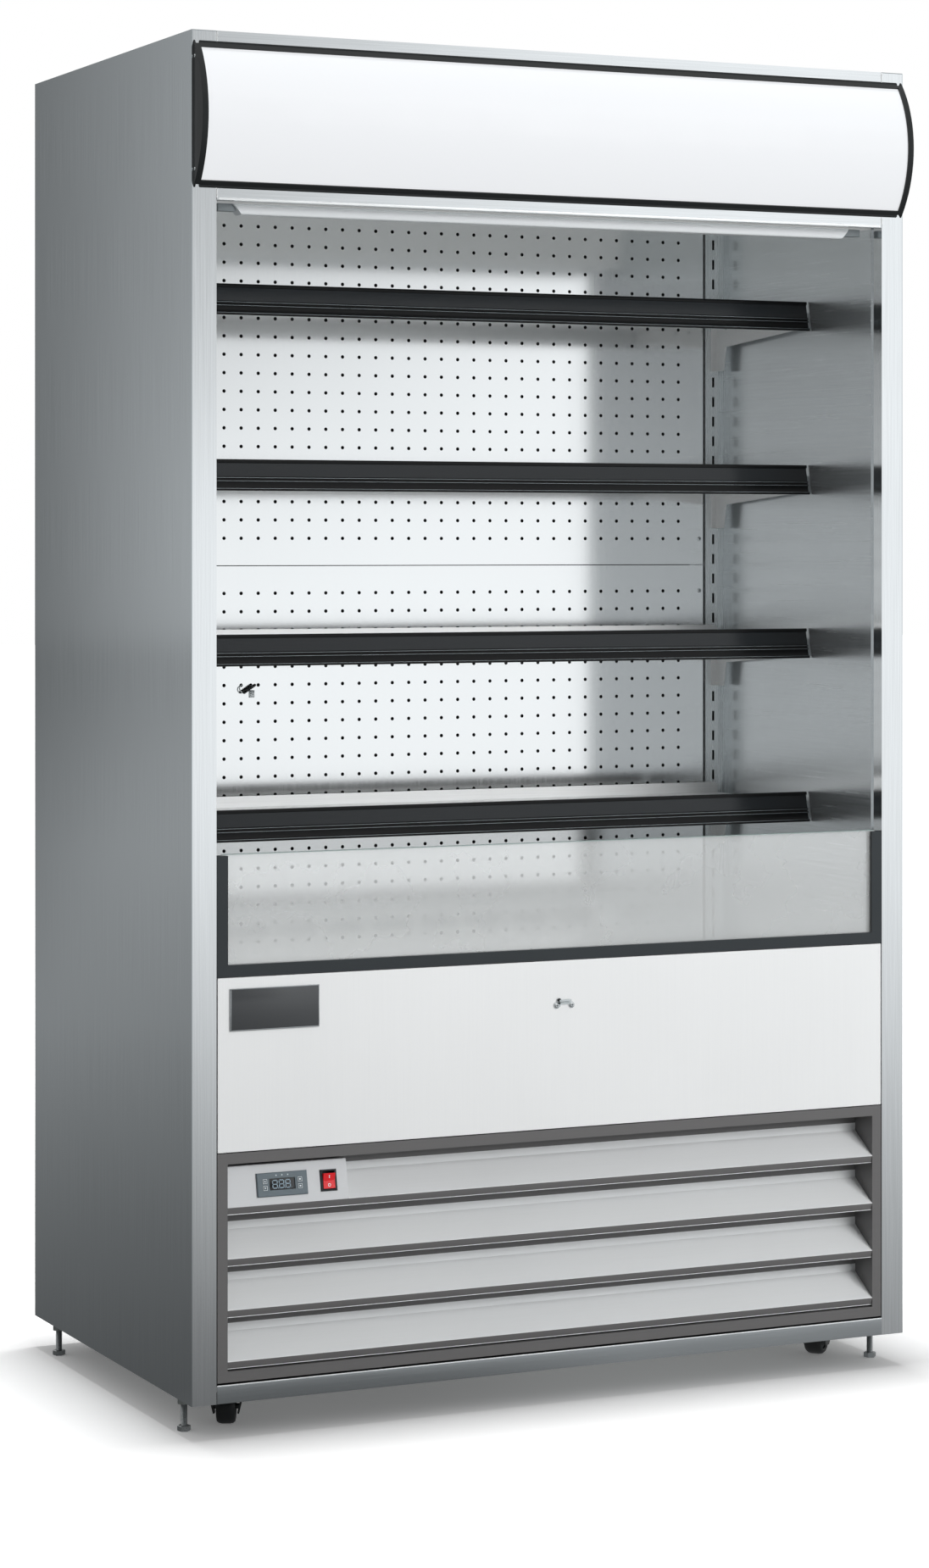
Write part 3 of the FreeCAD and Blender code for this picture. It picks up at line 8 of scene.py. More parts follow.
import bmesh
import bpy
from bpy.types import Collection, Material, Mesh, Node, NodeSocket, NodeTree, Object, World
from mathutils import Matrix, Vector


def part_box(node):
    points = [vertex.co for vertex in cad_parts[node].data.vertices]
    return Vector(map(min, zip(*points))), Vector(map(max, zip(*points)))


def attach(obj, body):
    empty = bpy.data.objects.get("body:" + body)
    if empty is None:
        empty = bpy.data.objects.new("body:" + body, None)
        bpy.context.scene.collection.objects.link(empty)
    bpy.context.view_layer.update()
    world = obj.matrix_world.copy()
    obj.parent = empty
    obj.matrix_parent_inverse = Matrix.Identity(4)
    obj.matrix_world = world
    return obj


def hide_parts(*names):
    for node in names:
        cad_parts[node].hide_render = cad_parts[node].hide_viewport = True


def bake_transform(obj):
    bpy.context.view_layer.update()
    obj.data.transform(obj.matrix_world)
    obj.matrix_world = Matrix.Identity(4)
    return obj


log = logging.getLogger("fridge")
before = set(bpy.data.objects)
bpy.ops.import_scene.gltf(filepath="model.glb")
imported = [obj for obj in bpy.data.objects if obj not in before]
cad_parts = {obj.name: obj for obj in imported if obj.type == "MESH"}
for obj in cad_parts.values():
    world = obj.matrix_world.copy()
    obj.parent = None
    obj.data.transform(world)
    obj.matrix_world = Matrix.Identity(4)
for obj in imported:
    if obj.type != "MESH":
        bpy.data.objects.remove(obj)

MM = 0.001
WIDTH = 1175.0
FRONT = -329.0
NO_RADIUS = 1e-6
WHITE = (1.0, 1.0, 1.0, 1.0)
Pair = tuple[float, float]


def at(side: float, behind: float, up: float) -> Vector:
    """Point in metres of a place in millimetres: from the left side, behind the pillars' face, over the floor."""
    return Vector(((side - WIDTH / 2) * MM, (FRONT + behind) * MM, up * MM))


def extent(node: str) -> list[Vector]:
    """Lowest and highest corner of a node's box at rest, in millimetres on the cabinet."""
    return [Vector((corner[0] / MM + WIDTH / 2, corner[1] / MM - FRONT, corner[2] / MM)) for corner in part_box(node)]


def both(side: float) -> Pair:
    """A distance from the cabinet's left side, and its mirror image."""
    return side, WIDTH - side


def linear(code: str) -> tuple[float, float, float, float]:
    """Linear colour of an sRGB hex code.

    Args:
        code: Six hex digits with a leading #.

    Returns:
        Red, green, blue and an alpha of 1.
    """
    parts = [int(code[i : i + 2], 16) / 255 for i in (1, 3, 5)]
    red, green, blue = (p / 12.92 if p <= 0.04045 else ((p + 0.055) / 1.055) ** 2.4 for p in parts)
    return red, green, blue, 1.0


class Nodes:
    """A node tree, with short calls for the nodes that recur in it."""

    def __init__(self, tree: NodeTree) -> None:
        """Works on the given tree."""
        self.tree = tree

    def add(self, kind: str, inputs: dict | None = None, **settings: object) -> Node:
        """Adds one node.

        Args:
            kind: The node's type name, with ShaderNode left out.
            inputs: Input sockets, by name or number, with a value or an output socket for each.
            **settings: Properties of the node.

        Returns:
            The new node.
        """
        node = self.tree.nodes.new(kind if "Node" in kind else "ShaderNode" + kind)
        for key, value in settings.items():
            setattr(node, key, value)
        for key, value in (inputs or {}).items():
            if isinstance(value, NodeSocket):
                self.tree.links.new(value, node.inputs[key])
            else:
                node.inputs[key].default_value = value
        return node

    def math(self, operation: str, first: object, second: object) -> NodeSocket:
        """Result of an operation on two values."""
        return self.add("Math", {0: first, 1: second}, operation=operation).outputs[0]

    def ranged(
        self, value: NodeSocket, low: float, high: float, start: float = 0.0, end: float = 1.0, curve: str = "LINEAR"
    ) -> NodeSocket:
        """A value carried over from one span to another.

        Args:
            value: The value.
            low: The result where the value is at the start.
            high: The result where it is at the end.
            start: The span's start.
            end: The span's end.
            curve: How the result goes from low to high.

        Returns:
            The result.
        """
        span = {"Value": value, "From Min": start, "From Max": end, "To Min": low, "To Max": high}
        return self.add("MapRange", span, interpolation_type=curve).outputs[0]

    def noise(self, place: NodeSocket, scale: float, detail: float, roughness: float = 0.5) -> NodeSocket:
        """Noise at a place, mostly between 0.3 and 0.7."""
        given = {"Vector": place, "Scale": scale, "Detail": detail, "Roughness": roughness}
        return self.add("TexNoise", given).outputs["Fac"]

    def spread(self, noise: NodeSocket, middle: float, reach: float) -> NodeSocket:
        """A noise turned into a value that wanders round a middle one."""
        return self.ranged(noise, middle - reach, middle + reach, 0.3, 0.7)

    def shaded(self, code: str, level: NodeSocket) -> NodeSocket:
        """The colour of a hex code, times a level."""
        return self.add("VectorMath", {0: linear(code)[:3], "Scale": level}, operation="SCALE").outputs[0]

    def bump(self, height: NodeSocket, strength: float, distance: float = 0.0002) -> NodeSocket:
        """Normal of a surface with a fine relief."""
        return self.add("Bump", {"Height": height, "Strength": strength, "Distance": distance}).outputs[0]

    def ramp(self, value: NodeSocket, stops: Sequence[tuple[float, Sequence[float]]]) -> NodeSocket:
        """A colour that changes with a value.

        Args:
            value: The value.
            stops: Value and colour of each stop, in their order.

        Returns:
            The colour.
        """
        ramp = self.add("ValToRGB", {"Fac": value})
        elements = ramp.color_ramp.elements
        while len(elements) < len(stops):
            elements.new(0.5)
        for element, (position, colour) in zip(elements, stops):
            element.position = position
            element.color = colour
        return ramp.outputs["Color"]


def emptied(owner: Material | World) -> Nodes:
    """The node tree of a material or world, with nothing in it.

    Args:
        owner: The material or world.

    Returns:
        Its tree.
    """
    owner.use_nodes = True
    owner.node_tree.nodes.clear()
    return Nodes(owner.node_tree)


# ---------------------------------------------------------------- finishes
class Grain(Enum):
    """Direction in which a sheet was brushed, as the number of its axis."""

    ACROSS = 0
    BACKWARD = 1
    UPRIGHT = 2


@dataclass(frozen=True)
class Finish(ABC):
    """What every finish has: its name, the record's slot that it belongs to, and its colour."""

    name: str
    slot: str
    colour: str

    @abstractmethod
    def surface(self, nodes: Nodes, place: NodeSocket) -> dict[str, object]:
        """Inputs of the surface's shader.

        Args:
            nodes: The material's tree.
            place: Place on the object.

        Returns:
            A value or a socket for each input, by name.
        """

    def material(self) -> Material:
        """Material with this finish.

        Returns:
            The new material.
        """
        material = bpy.data.materials.new(self.name)
        material["slot"] = self.slot
        nodes = emptied(material)
        place = nodes.add("TexCoord").outputs["Object"]
        shader = nodes.add("BsdfPrincipled", self.surface(nodes, place))
        nodes.add("OutputMaterial", {"Surface": shader.outputs[0]})
        return material


@dataclass(frozen=True)
class BrushedSteel(Finish):
    """Stainless sheet, No. 4 belt-brushed: fine parallel scratches that smear what it reflects.

    The belt's lines lie about half a millimetre apart, and are drawn wider here so that they show.
    """

    grain: Grain
    roughness: float = 0.24
    line_mm: float = 1.6
    contrast: float = 0.05
    cloud: float = 0.015
    metallic: float = 1.0
    scratch: float = 0.06
    line_length: float = 90.0

    def surface(self, nodes: Nodes, place: NodeSocket) -> dict[str, object]:
        """Long thin noise for the lines and a wide one for the sheet's clouds.

        Args:
            nodes: The material's tree.
            place: Place on the object.

        Returns:
            The shader's inputs, by name.
        """
        scale = [1.0 / (self.line_mm * MM)] * 3
        scale[self.grain.value] /= self.line_length
        stretched = nodes.add("Mapping", {"Vector": place, "Scale": scale}).outputs[0]
        lines = nodes.noise(stretched, 1.0, 3.0, 0.6)
        clouds = nodes.spread(nodes.noise(place, 3.0, 2.0), 1.0, self.cloud)
        tone = nodes.math("MULTIPLY", nodes.spread(lines, 1.0, self.contrast), clouds)
        return {
            "Base Color": nodes.shaded(self.colour, tone),
            "Metallic": self.metallic,
            "Roughness": nodes.spread(lines, self.roughness, 0.15 * self.roughness),
            "Normal": nodes.bump(lines, self.scratch),
        }


@dataclass(frozen=True)
class Coated(Finish):
    """Paint, moulded plastic or rubber: a body colour with a faint speckle and an orange-peel bump."""

    roughness: float
    speckle_mm: float = 1.5
    variation: float = 0.06
    peel: float = 0.06
    coat: float = 0.0
    glow: float = 0.0
    specular: float = 0.5
    glow_colour: str = ""

    def surface(self, nodes: Nodes, place: NodeSocket) -> dict[str, object]:
        """Fine noise for the speckle and a wide one for the gloss.

        Args:
            nodes: The material's tree.
            place: Place on the object.

        Returns:
            The shader's inputs, by name.
        """
        speckle = nodes.noise(place, 1.0 / (self.speckle_mm * MM), 2.0)
        patches = nodes.noise(place, 14.0, 1.0)
        return {
            "Base Color": nodes.shaded(self.colour, nodes.spread(speckle, 1.0, self.variation)),
            "Roughness": nodes.spread(patches, self.roughness, 0.1 * self.roughness),
            "Normal": nodes.bump(speckle, self.peel),
            "Coat Weight": self.coat,
            "Specular IOR Level": self.specular,
            "Emission Color": linear(self.glow_colour or self.colour),
            "Emission Strength": self.glow,
        }


@dataclass(frozen=True)
class FloatGlass(Finish):
    """Toughened float glass: clear, with a light haze of dust on its faces that greys what is behind it."""

    haze: float
    roughness: float = 0.03

    def surface(self, nodes: Nodes, place: NodeSocket) -> dict[str, object]:
        """Cloudy film of dust over a clear pane.

        Args:
            nodes: The material's tree.
            place: Place on the object.

        Returns:
            The shader's inputs, by name.
        """
        film = nodes.noise(place, 6.0, 4.0)
        return {
            "Base Color": nodes.shaded(self.colour, nodes.spread(film, 1.0, 0.01)),
            "Alpha": self.haze,
            "Roughness": nodes.spread(film, self.roughness, 0.3 * self.roughness),
        }


@dataclass(frozen=True)
class WovenBlind(Finish):
    """Polyester blind cloth with a thin metallic coat, in a plain weave drawn wider than the real one."""

    thread_mm: float = 1.2

    def surface(self, nodes: Nodes, place: NodeSocket) -> dict[str, object]:
        """Waves along and across the cloth, multiplied into a weave.

        Args:
            nodes: The material's tree.
            place: Place on the object.

        Returns:
            The shader's inputs, by name.
        """
        wave = {"Vector": place, "Scale": 1.0 / (self.thread_mm * MM) / 6.28, "Distortion": 0.6, "Detail": 1.0}
        threads = [nodes.add("TexWave", wave, bands_direction=axis).outputs["Fac"] for axis in ("X", "Z")]
        weave = nodes.math("MULTIPLY", *threads)
        return {
            "Base Color": nodes.shaded(self.colour, nodes.ranged(weave, 0.86, 1.08)),
            "Roughness": 0.62,
            "Sheen Weight": 0.3,
            "Normal": nodes.bump(weave, 0.3, 0.0003),
        }


def steel(*values: object, **more: object) -> Material:
    """Material of a brushed or rolled sheet."""
    return BrushedSteel(*values, **more).material()


def coated(*values: object, **more: object) -> Material:
    """Material of a painted or moulded surface."""
    return Coated(*values, **more).material()


class Finishes:
    """Every finish of the cabinet, made once."""

    def __init__(self) -> None:
        """Makes the materials."""
        across, upright, backward = Grain.ACROSS, Grain.UPRIGHT, Grain.BACKWARD
        # Stainless outside: brushed, so it goes from dark to bright with the room on its far side.
        self.side = steel("side_brushed_stainless", "side_steel", "#c9ced0", upright, 0.11, 2.2, 0.05)
        self.pillar = steel("pillar_brushed_stainless", "pillar_steel", "#eceeef", upright, 0.12)
        self.header = steel("header_brushed_stainless", "pillar_steel", "#eceeef", across, 0.13)
        self.panel = steel(
            "panel_brushed_stainless", "panel_steel", "#f2f3f3", upright, 0.34, 1.6, 0.010, metallic=0.35
        )
        self.kick = steel("kick_plate_stainless", "kick_steel", "#c9cdcf", across, 0.18, 1.6, 0.03)
        # Stainless inside: rolled bright, so shelves and rails show in it.
        self.liner = steel(
            "liner_bright_stainless", "liner_steel", "#e6eaec", backward, 0.24, 2.4, 0.03, metallic=0.85
        )
        self.back = steel(
            "back_bright_stainless", "liner_steel", "#f6f7f7", upright, 0.12, 1.6, 0.008, 0.01, scratch=0.0
        )
        # The outlet's faint glow is painted light: it brightens the ceiling over the cold space, though the outlet is
        # no lamp.
        self.outlet = coated("outlet_white_painted_steel_painted_glow", "frame_paint", "#eef0f0", 0.40, glow=0.12)
        self.upright = steel("upright_stainless", "liner_steel", "#e9edee", upright, 0.26, metallic=0.8)
        self.tray = steel("shelf_stainless", "shelf_paint", "#f3f4f4", across, 0.34, 1.6, 0.03, metallic=0.25)
        # Aluminium strips are anodised satin: a bright body colour with little mirror in it.
        satin = {"line_mm": 2.0, "contrast": 0.012, "metallic": 0.12}
        self.slat = steel("slat_satin_aluminium", "bright_aluminium", "#dddfe0", across, 0.50, **satin)
        # The control panel is the slats' satin aluminium, a shade darker because it leans back: painted shade.
        self.control = steel("control_panel_satin_aluminium_painted_shade", "bright_aluminium", "#c4c6c8", across, 0.50, **satin)
        # The frame's own grey. On the slats' lips and hems the same finish is painted shade.
        self.louvre = steel(
            "louvre_grey_aluminium_and_painted_shade", "louvre_paint", "#6b6a6a", across, 0.46, 2.0, 0.03, metallic=0.3
        )
        # Bright strips: painted highlights on the header's hem and seam edges, the kick plate's top and arcs on the
        # canopy caps. Also the bright cut edge at each slat lip's foot, and bright bars at the caps' slots.
        self.bright = steel("cut_edge_and_painted_highlight", "bright_aluminium", "#f0f3f4", across, 0.40, metallic=0.2)
        # Zinc: larger, duller grain than stainless.
        self.rear = steel("rear_galvanised_steel", "galvanised", "#aeb4b6", upright, 0.46, 3.0, 0.07, 0.04)
        self.zinc = steel("zinc_plated_steel", "zinc", "#a9adab", upright, 0.32, 0.6, 0.10)
        self.foot = steel("foot_zinc", "zinc", "#9ea2a3", across, 0.30, 0.6, 0.10, metallic=0.8)
        self.screw = steel("stainless_screw", "zinc", "#d8dcdd", across, 0.22, 0.4, 0.06)
        self.fin = steel("aluminium_fins", "fin_aluminium", "#aab0b3", upright, 0.38, 2.6, 0.22)
        self.plate_rim = steel("plate_rim_bright", "bright_aluminium", "#b4b8ba", across, 0.30, 0.6)
        # Sign: opal acrylic glows through its whole thickness, with no hot spot.
        self.trim = coated("black_anodised_trim", "anodised_dark", "#0f1213", 0.36, specular=0.35)
        self.opal = coated(
            "opal_acrylic_sign", "opal", "#7c7f82", 0.40, 3.0, 0.004, 0.01, glow=0.66, glow_colour="#fbfcfe"
        )
        self.led = coated("led_bar_white", "diffuser", "#e9edef", 0.50, 0.6, 0.03)
        self.lamp = coated("lamp_diffuser_polycarbonate", "lamp_glass", "#e8ecee", 0.34, 2.0, 0.01, 0.02)
        self.holder = coated("lamp_holder_grey_nylon", "frame_paint", "#868d90", 0.45, 0.8)
        # Price rail: extruded PVC with a gloss skin, and a clear strip over the tickets' place.
        self.rail = coated("price_rail_black_pvc", "black_gloss", "#060708", 0.24, 1.2, 0.06, 0.01, specular=0.22)
        self.label = coated("label_strip_clear_pvc", "black_gloss", "#14181b", 0.16, 1.2, 0.04, 0.01, specular=0.42)
        # Light grey strips on the rail's ridges are painted highlights.
        self.rail_ridge_highlight = coated("price_rail_ridge_painted_highlight", "black_gloss", "#7b8488", 0.30, 1.2, 0.04, 0.01)
        self.channel = coated("glass_channel_grey_aluminium", "frame_paint", "#262b2e", 0.40, 1.0, 0.05)
        self.plate = coated("blank_plate_dark_enamel", "dark_plate", "#3c3e40", 0.34, 1.0, 0.05, coat=0.3)
        # Controls: moulded parts, matt where a finger goes and glossy over the display.
        self.bezel = coated("controller_bezel_grey_abs", "bezel", "#5a656b", 0.40, 0.8)
        self.window = coated("display_window_smoked", "black_gloss", "#0b0e10", 0.12, 0.8, 0.05, 0.0, coat=0.6)
        self.segment = coated("display_segments_off", "bezel", "#8296a3", 0.35, 0.8, 0.04)
        self.key = coated("key_grey_silicone", "button_rubber", "#4c575d", 0.55, 0.6)
        self.mark = coated("printed_white_mark", "button_rubber", "#dfe5e8", 0.50, 0.6, 0.03)
        self.switch = coated("switch_black_nylon", "black_plastic", "#15171a", 0.36, 0.8)
        self.rocker = coated(
            "rocker_red_translucent", "rocker_red", "#c9151d", 0.22, 0.8, 0.04, 0.01, coat=0.5, glow=0.12
        )
        self.clip = coated("sensor_probe_black_nylon", "black_plastic", "#16181a", 0.40, 0.6)
        self.bracket = coated("sensor_bracket_clear_nylon", "bezel", "#b9c0c2", 0.30, 0.6)
        self.wire = coated("sensor_lead_pale_pvc", "bezel", "#d9dddd", 0.40, 0.6)
        # Under and inside: painted steel, nylon tyres, foam, and near-black painted shade for gaps, slots, recesses
        # and the duct behind the back panels.
        self.fork = coated("caster_fork_black_paint", "black_paint", "#15181a", 0.34, 0.8, coat=0.3)
        self.tyre = coated("caster_tyre_black_nylon", "wheel_nylon", "#141617", 0.50, 0.8, 0.10)
        self.hub = coated("caster_hub_grey_nylon", "wheel_nylon", "#2c3032", 0.45, 0.8, 0.08)
        self.foam = coated("polyurethane_foam", "foam", "#d8c58a", 0.85, 4.0, 0.12, 0.4)
        self.machine = coated("compressor_black_enamel", "black_paint", "#17191a", 0.38, 1.2, 0.08, coat=0.4)
        self.fan = coated("fan_black_nylon", "black_plastic", "#1a1c1e", 0.46, 0.8)
        self.dark = coated("painted_shade_dark", "black_paint", "#050606", 0.80, 1.0, peel=0.0)
        self.cloth = WovenBlind("night_curtain_cloth", "curtain_fabric", "#c5cbcd").material()
        self.glass = FloatGlass("toughened_glass", "clear_glass", "#f8fbfb", 0.27).material()
        self.glass_edge = coated("glass_edge_ground", "clear_glass", "#8fa29f", 0.35, 0.6, 0.05)


# ---------------------------------------------------------------- meshes
def in_scene(name: str, data: bpy.types.ID) -> Object:
    """New object with its data, in the scene's own collection.

    Args:
        name: The object's name.
        data: Its mesh, camera or light.

    Returns:
        The new object.
    """
    made = bpy.data.objects.new(name, data)
    bpy.context.scene.collection.objects.link(made)
    return made


def ridden(made: Object, body: str, stands_for: Sequence[str] = ()) -> Object:
    """Puts a piece on its body and reports it.

    Args:
        made: The piece.
        body: The body that carries it.
        stands_for: Nodes that it takes the place of.

    Returns:
        The same piece.
    """
    if stands_for:
        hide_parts(*stands_for)
    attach(made, body)
    log.info("%s on %s, %d faces", made.name, body, len(made.data.polygons))
    return made


def dress(finish: Material, *nodes: str) -> None:
    """Gives nodes of the cabinet a finish.

    Args:
        finish: The material.
        *nodes: Names of the nodes.
    """
    for name in nodes:
        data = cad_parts[name].data
        data.materials.clear()
        data.materials.append(finish)
        log.info("%s dressed in %s", name, finish.name)


def circle(first: Vector, second: Vector, radius: float, steps: int) -> list[Vector]:
    """Points round a circle, or its middle alone where it has no radius.

    Args:
        first: Direction of the first point.
        second: Direction a quarter turn on.
        radius: The circle's radius.
        steps: Count of points.

    Returns:
        The points, from the circle's middle.
    """
    if radius <= NO_RADIUS:
        return [Vector()]
    turns = [math.tau * i / steps for i in range(steps)]
    return [(first * math.cos(turn) + second * math.sin(turn)) * radius for turn in turns]


class Shape:
    """A mesh in the making, in millimetres on the cabinet: side, behind, up."""

    def __init__(self) -> None:
        """Starts with nothing in it."""
        self.mesh = bmesh.new()

    def block(self, low: Sequence[float], high: Sequence[float], bevel: float = 0.0, segments: int = 2) -> "Shape":
        """Adds a box with rounded edges.

        Args:
            low: Its lowest side, behind and up.
            high: Its highest ones.
            bevel: Radius of its edges.
            segments: Facets across each edge.

        Returns:
            This shape.
        """
        made = bmesh.ops.create_cube(self.mesh, size=1.0)["verts"]
        size = Vector(high) - Vector(low)
        middle = (Vector(high) + Vector(low)) / 2
        for vertex in made:
            vertex.co = Vector((vertex.co[i] * size[i] + middle[i] for i in range(3)))
        if bevel > 0:
            edges = list({edge for vertex in made for edge in vertex.link_edges})
            rounding = {"offset": bevel, "segments": segments, "profile": 0.5, "clamp_overlap": True}
            bmesh.ops.bevel(self.mesh, geom=edges, affect="EDGES", **rounding)
        return self

    def framed(self, low: Sequence[float], high: Sequence[float], wide: float, bevel: float = 0.0) -> "Shape":
        """Adds four bars round an opening that faces the front.

        Args:
            low: Lowest side, behind and up of the whole.
            high: Its highest ones.
            wide: Width of each bar.
            bevel: Radius of its edges.

        Returns:
            This shape.
        """
        (x0, y0, z0), (x1, y1, z1) = low, high
        inner_low, inner_high = z0 + wide, z1 - wide
        for a, b, c, d in (
            (x0, x1, z0, inner_low), (x0, x1, inner_high, z1),
            (x0, x0 + wide, inner_low, inner_high), (x1 - wide, x1, inner_low, inner_high),
        ):
            self.block((a, y0, c), (b, y1, d), bevel)
        return self

    def ring(self, points: Iterable[Sequence[float]]) -> list[bmesh.types.BMVert]:
        """New vertices at points."""
        return [self.mesh.verts.new(point) for point in points]

    def skinned(self, rings: Sequence[Sequence[bmesh.types.BMVert]]) -> "Shape":
        """Adds a skin over rings of vertices, with a face on each end that isn't a point.

        Args:
            rings: The rings, each with the same count of vertices or with one.

        Returns:
            This shape.
        """
        faces = [self.mesh.faces.new(ring[::turn]) for ring, turn in ((rings[0], -1), (rings[-1], 1)) if len(ring) > 1]
        steps = max(map(len, rings))
        for low, high in zip(rings, rings[1:]):
            for i in range(steps):
                j = (i + 1) % steps
                corners = (low[i % len(low)], low[j % len(low)], high[j % len(high)], high[i % len(high)])
                unique = list(dict.fromkeys(corners))
                if len(unique) > 2:
                    faces.append(self.mesh.faces.new(unique))
        bmesh.ops.recalc_face_normals(self.mesh, faces=faces)
        return self

    def extruded(self, outline: Sequence[Pair], low: float, high: float, axis: int) -> "Shape":
        """Adds an outline swept along an axis.

        Args:
            outline: Points on the other two axes, in their order.
            low: Where the sweep starts.
            high: Where it ends.
            axis: 0 for side, 1 for behind, 2 for up.

        Returns:
            This shape.
        """
        ends = []
        for along in (low, high):
            ends.append(self.ring((*point[:axis], along, *point[axis:]) for point in outline))
        return self.skinned(ends)

    def turned(
        self, profile: Sequence[Pair], middle: Sequence[float], axis: Sequence[float], steps: int = 32
    ) -> "Shape":
        """Adds a turned piece.

        Args:
            profile: Distance along the axis and radius of each point, from one end to the other.
            middle: Where the distance along the axis is zero.
            axis: The axis of turning.
            steps: Facets in a full turn.

        Returns:
            This shape.
        """
        direction = Vector(axis).normalized()
        first = direction.orthogonal().normalized()
        second = direction.cross(first)
        rings = []
        for along, radius in profile:
            start = Vector(middle) + direction * along
            rings.append(self.ring(start + out for out in circle(first, second, radius, steps)))
        return self.skinned(rings)

    def tube(self, path: Sequence[Sequence[float]], radius: float, steps: int = 10) -> "Shape":
        """Adds a round wire along a path that doesn't run straight back.

        Args:
            path: Its points.
            radius: The wire's radius.
            steps: Facets round it.

        Returns:
            This shape.
        """
        rings = []
        for i, point in enumerate(path):
            along = (Vector(path[min(i + 1, len(path) - 1)]) - Vector(path[max(i - 1, 0)])).normalized()
            first = along.cross(Vector((0, 1, 0))).normalized()
            rings.append(self.ring(Vector(point) + out for out in circle(first, along.cross(first), radius, steps)))
        return self.skinned(rings)

    def data(self, name: str) -> Mesh:
        """The mesh that it has become, in metres. The shape is used up.

        Args:
            name: The mesh's name.

        Returns:
            The mesh.
        """
        data = bpy.data.meshes.new(name)
        self.mesh.to_mesh(data)
        self.mesh.free()
        data.shade_smooth()
        data.set_sharp_from_angle(angle=math.radians(32.0))
        return data

    def object(self, name: str, finish: Material) -> Object:
        """Finishes the mesh as one object that rides on nothing yet.

        Args:
            name: The piece's name.
            finish: Its material.

        Returns:
            The new object.
        """
        for vertex in self.mesh.verts:
            vertex.co = at(*vertex.co)
        data = self.data(name)
        data.materials.append(finish)
        made = in_scene(name, data)
        return made

    def piece(self, name: str, finish: Material, *stands_for: str, body: str = "cabinet") -> Object:
        """Finishes the mesh as one object that rides on a body, in place of the nodes it stands for."""
        return ridden(self.object(name, finish), body, stands_for)

    def unplaced(self, name: str) -> Object:
        """Small object for a pattern, drawn round its own middle and in no collection of the scene."""
        self.mesh.transform(Matrix.Scale(MM, 4))
        return bpy.data.objects.new(name, self.data(name))


def eased(outline: Sequence[Pair], radius: float, steps: int = 2) -> list[Pair]:
    """An outline with its corners rounded.

    Args:
        outline: Its points.
        radius: How far from each corner the rounding starts.
        steps: Facets in each corner.

    Returns:
        The new points.
    """
    points = []
    for i, corner in enumerate(outline):
        here = Vector(corner)
        before = Vector(outline[i - 1]) - here
        after = Vector(outline[(i + 1) % len(outline)]) - here
        reach = min(radius, before.length * 0.45, after.length * 0.45)
        start = here + before.normalized() * reach
        end = here + after.normalized() * reach
        for t in (k / steps for k in range(steps + 1)):
            points.append(tuple(start * (1 - t) ** 2 + here * 2 * t * (1 - t) + end * t * t))
    return points


def folded(path: Sequence[Pair], thick: float) -> list[Pair]:
    """Outline of a folded sheet, seen along its folds.

    Args:
        path: The folds of one of its faces.
        thick: The sheet's thickness, to the right of the path.

    Returns:
        The outline's points.
    """
    points = [Vector(point) for point in path]
    runs = [(b - a).normalized() for a, b in zip(points, points[1:])]
    across = [Vector((run.y, -run.x)) for run in runs]
    other = []
    for i, point in enumerate(points):
        near = across[max(i - 1, 0)]
        middle = (near + across[min(i, len(across) - 1)]).normalized()
        other.append(point + middle * (thick / middle.dot(near)))
    return [tuple(point) for point in points + other[::-1]]


# ---------------------------------------------------------------- repeated details
class Pattern(Nodes):
    """Geometry tree with named inputs that repeats one small object."""

    def __init__(self, name: str, **inputs: str) -> None:
        """Starts the tree.

        Args:
            name: The tree's name.
            **inputs: Type of each input's socket.
        """
        super().__init__(bpy.data.node_groups.new(name, "GeometryNodeTree"))
        inputs = {"Geometry": "Geometry", **inputs, "Finish": "Material"}
        for title, kind in inputs.items():
            self.tree.interface.new_socket(title, in_out="INPUT", socket_type="NodeSocket" + kind)
        self.tree.interface.new_socket("Geometry", in_out="OUTPUT", socket_type="NodeSocketGeometry")
        self.given = self.add("NodeGroupInput").outputs

    def repeated(self, points: NodeSocket, one: str, **more: object) -> NodeSocket:
        """Puts a real copy of an object on each point.

        Args:
            points: The points.
            one: Name of the input that holds the object.
            **more: Further inputs of the node that lays the copies out.

        Returns:
            The copies.
        """
        shape = self.add("GeometryNodeObjectInfo", {"Object": self.given[one]}).outputs["Geometry"]
        laid = self.add("GeometryNodeInstanceOnPoints", {"Points": points, "Instance": shape, **more}).outputs[0]
        return self.add("GeometryNodeRealizeInstances", {"Geometry": laid}).outputs[0]

    def piece(
        self, name: str, made: NodeSocket, values: dict, points: Sequence[Sequence[float]] = (),
        stands_for: Sequence[str] = (),
    ) -> Object:
        """Gives what the tree makes its finish, and keeps it as a plain piece on the cabinet.

        Args:
            name: The piece's name.
            made: What the tree makes.
            values: Values of the tree's inputs, by name.
            points: Points that the tree is given.
            stands_for: Nodes that the piece takes the place of.

        Returns:
            The new piece.
        """
        finished = self.add("GeometryNodeSetMaterial", {"Geometry": made, "Material": self.given["Finish"]})
        self.add("NodeGroupOutput", {0: finished.outputs[0]})
        data = bpy.data.meshes.new(name + "_points")
        data.from_pydata(list(points), [], [])
        holder = in_scene(name + "_holder", data)
        modifier = holder.modifiers.new("pattern", "NODES")
        modifier.node_group = self.tree
        for item in self.tree.interface.items_tree:
            if item.in_out == "INPUT" and item.name in values:
                modifier[item.identifier] = values[item.name]
        graph = bpy.context.evaluated_depsgraph_get()
        data = bpy.data.meshes.new_from_object(holder.evaluated_get(graph), depsgraph=graph)
        data.name = name
        bpy.data.objects.remove(holder)
        piece = in_scene(name, data)
        return ridden(piece, "cabinet", stands_for)


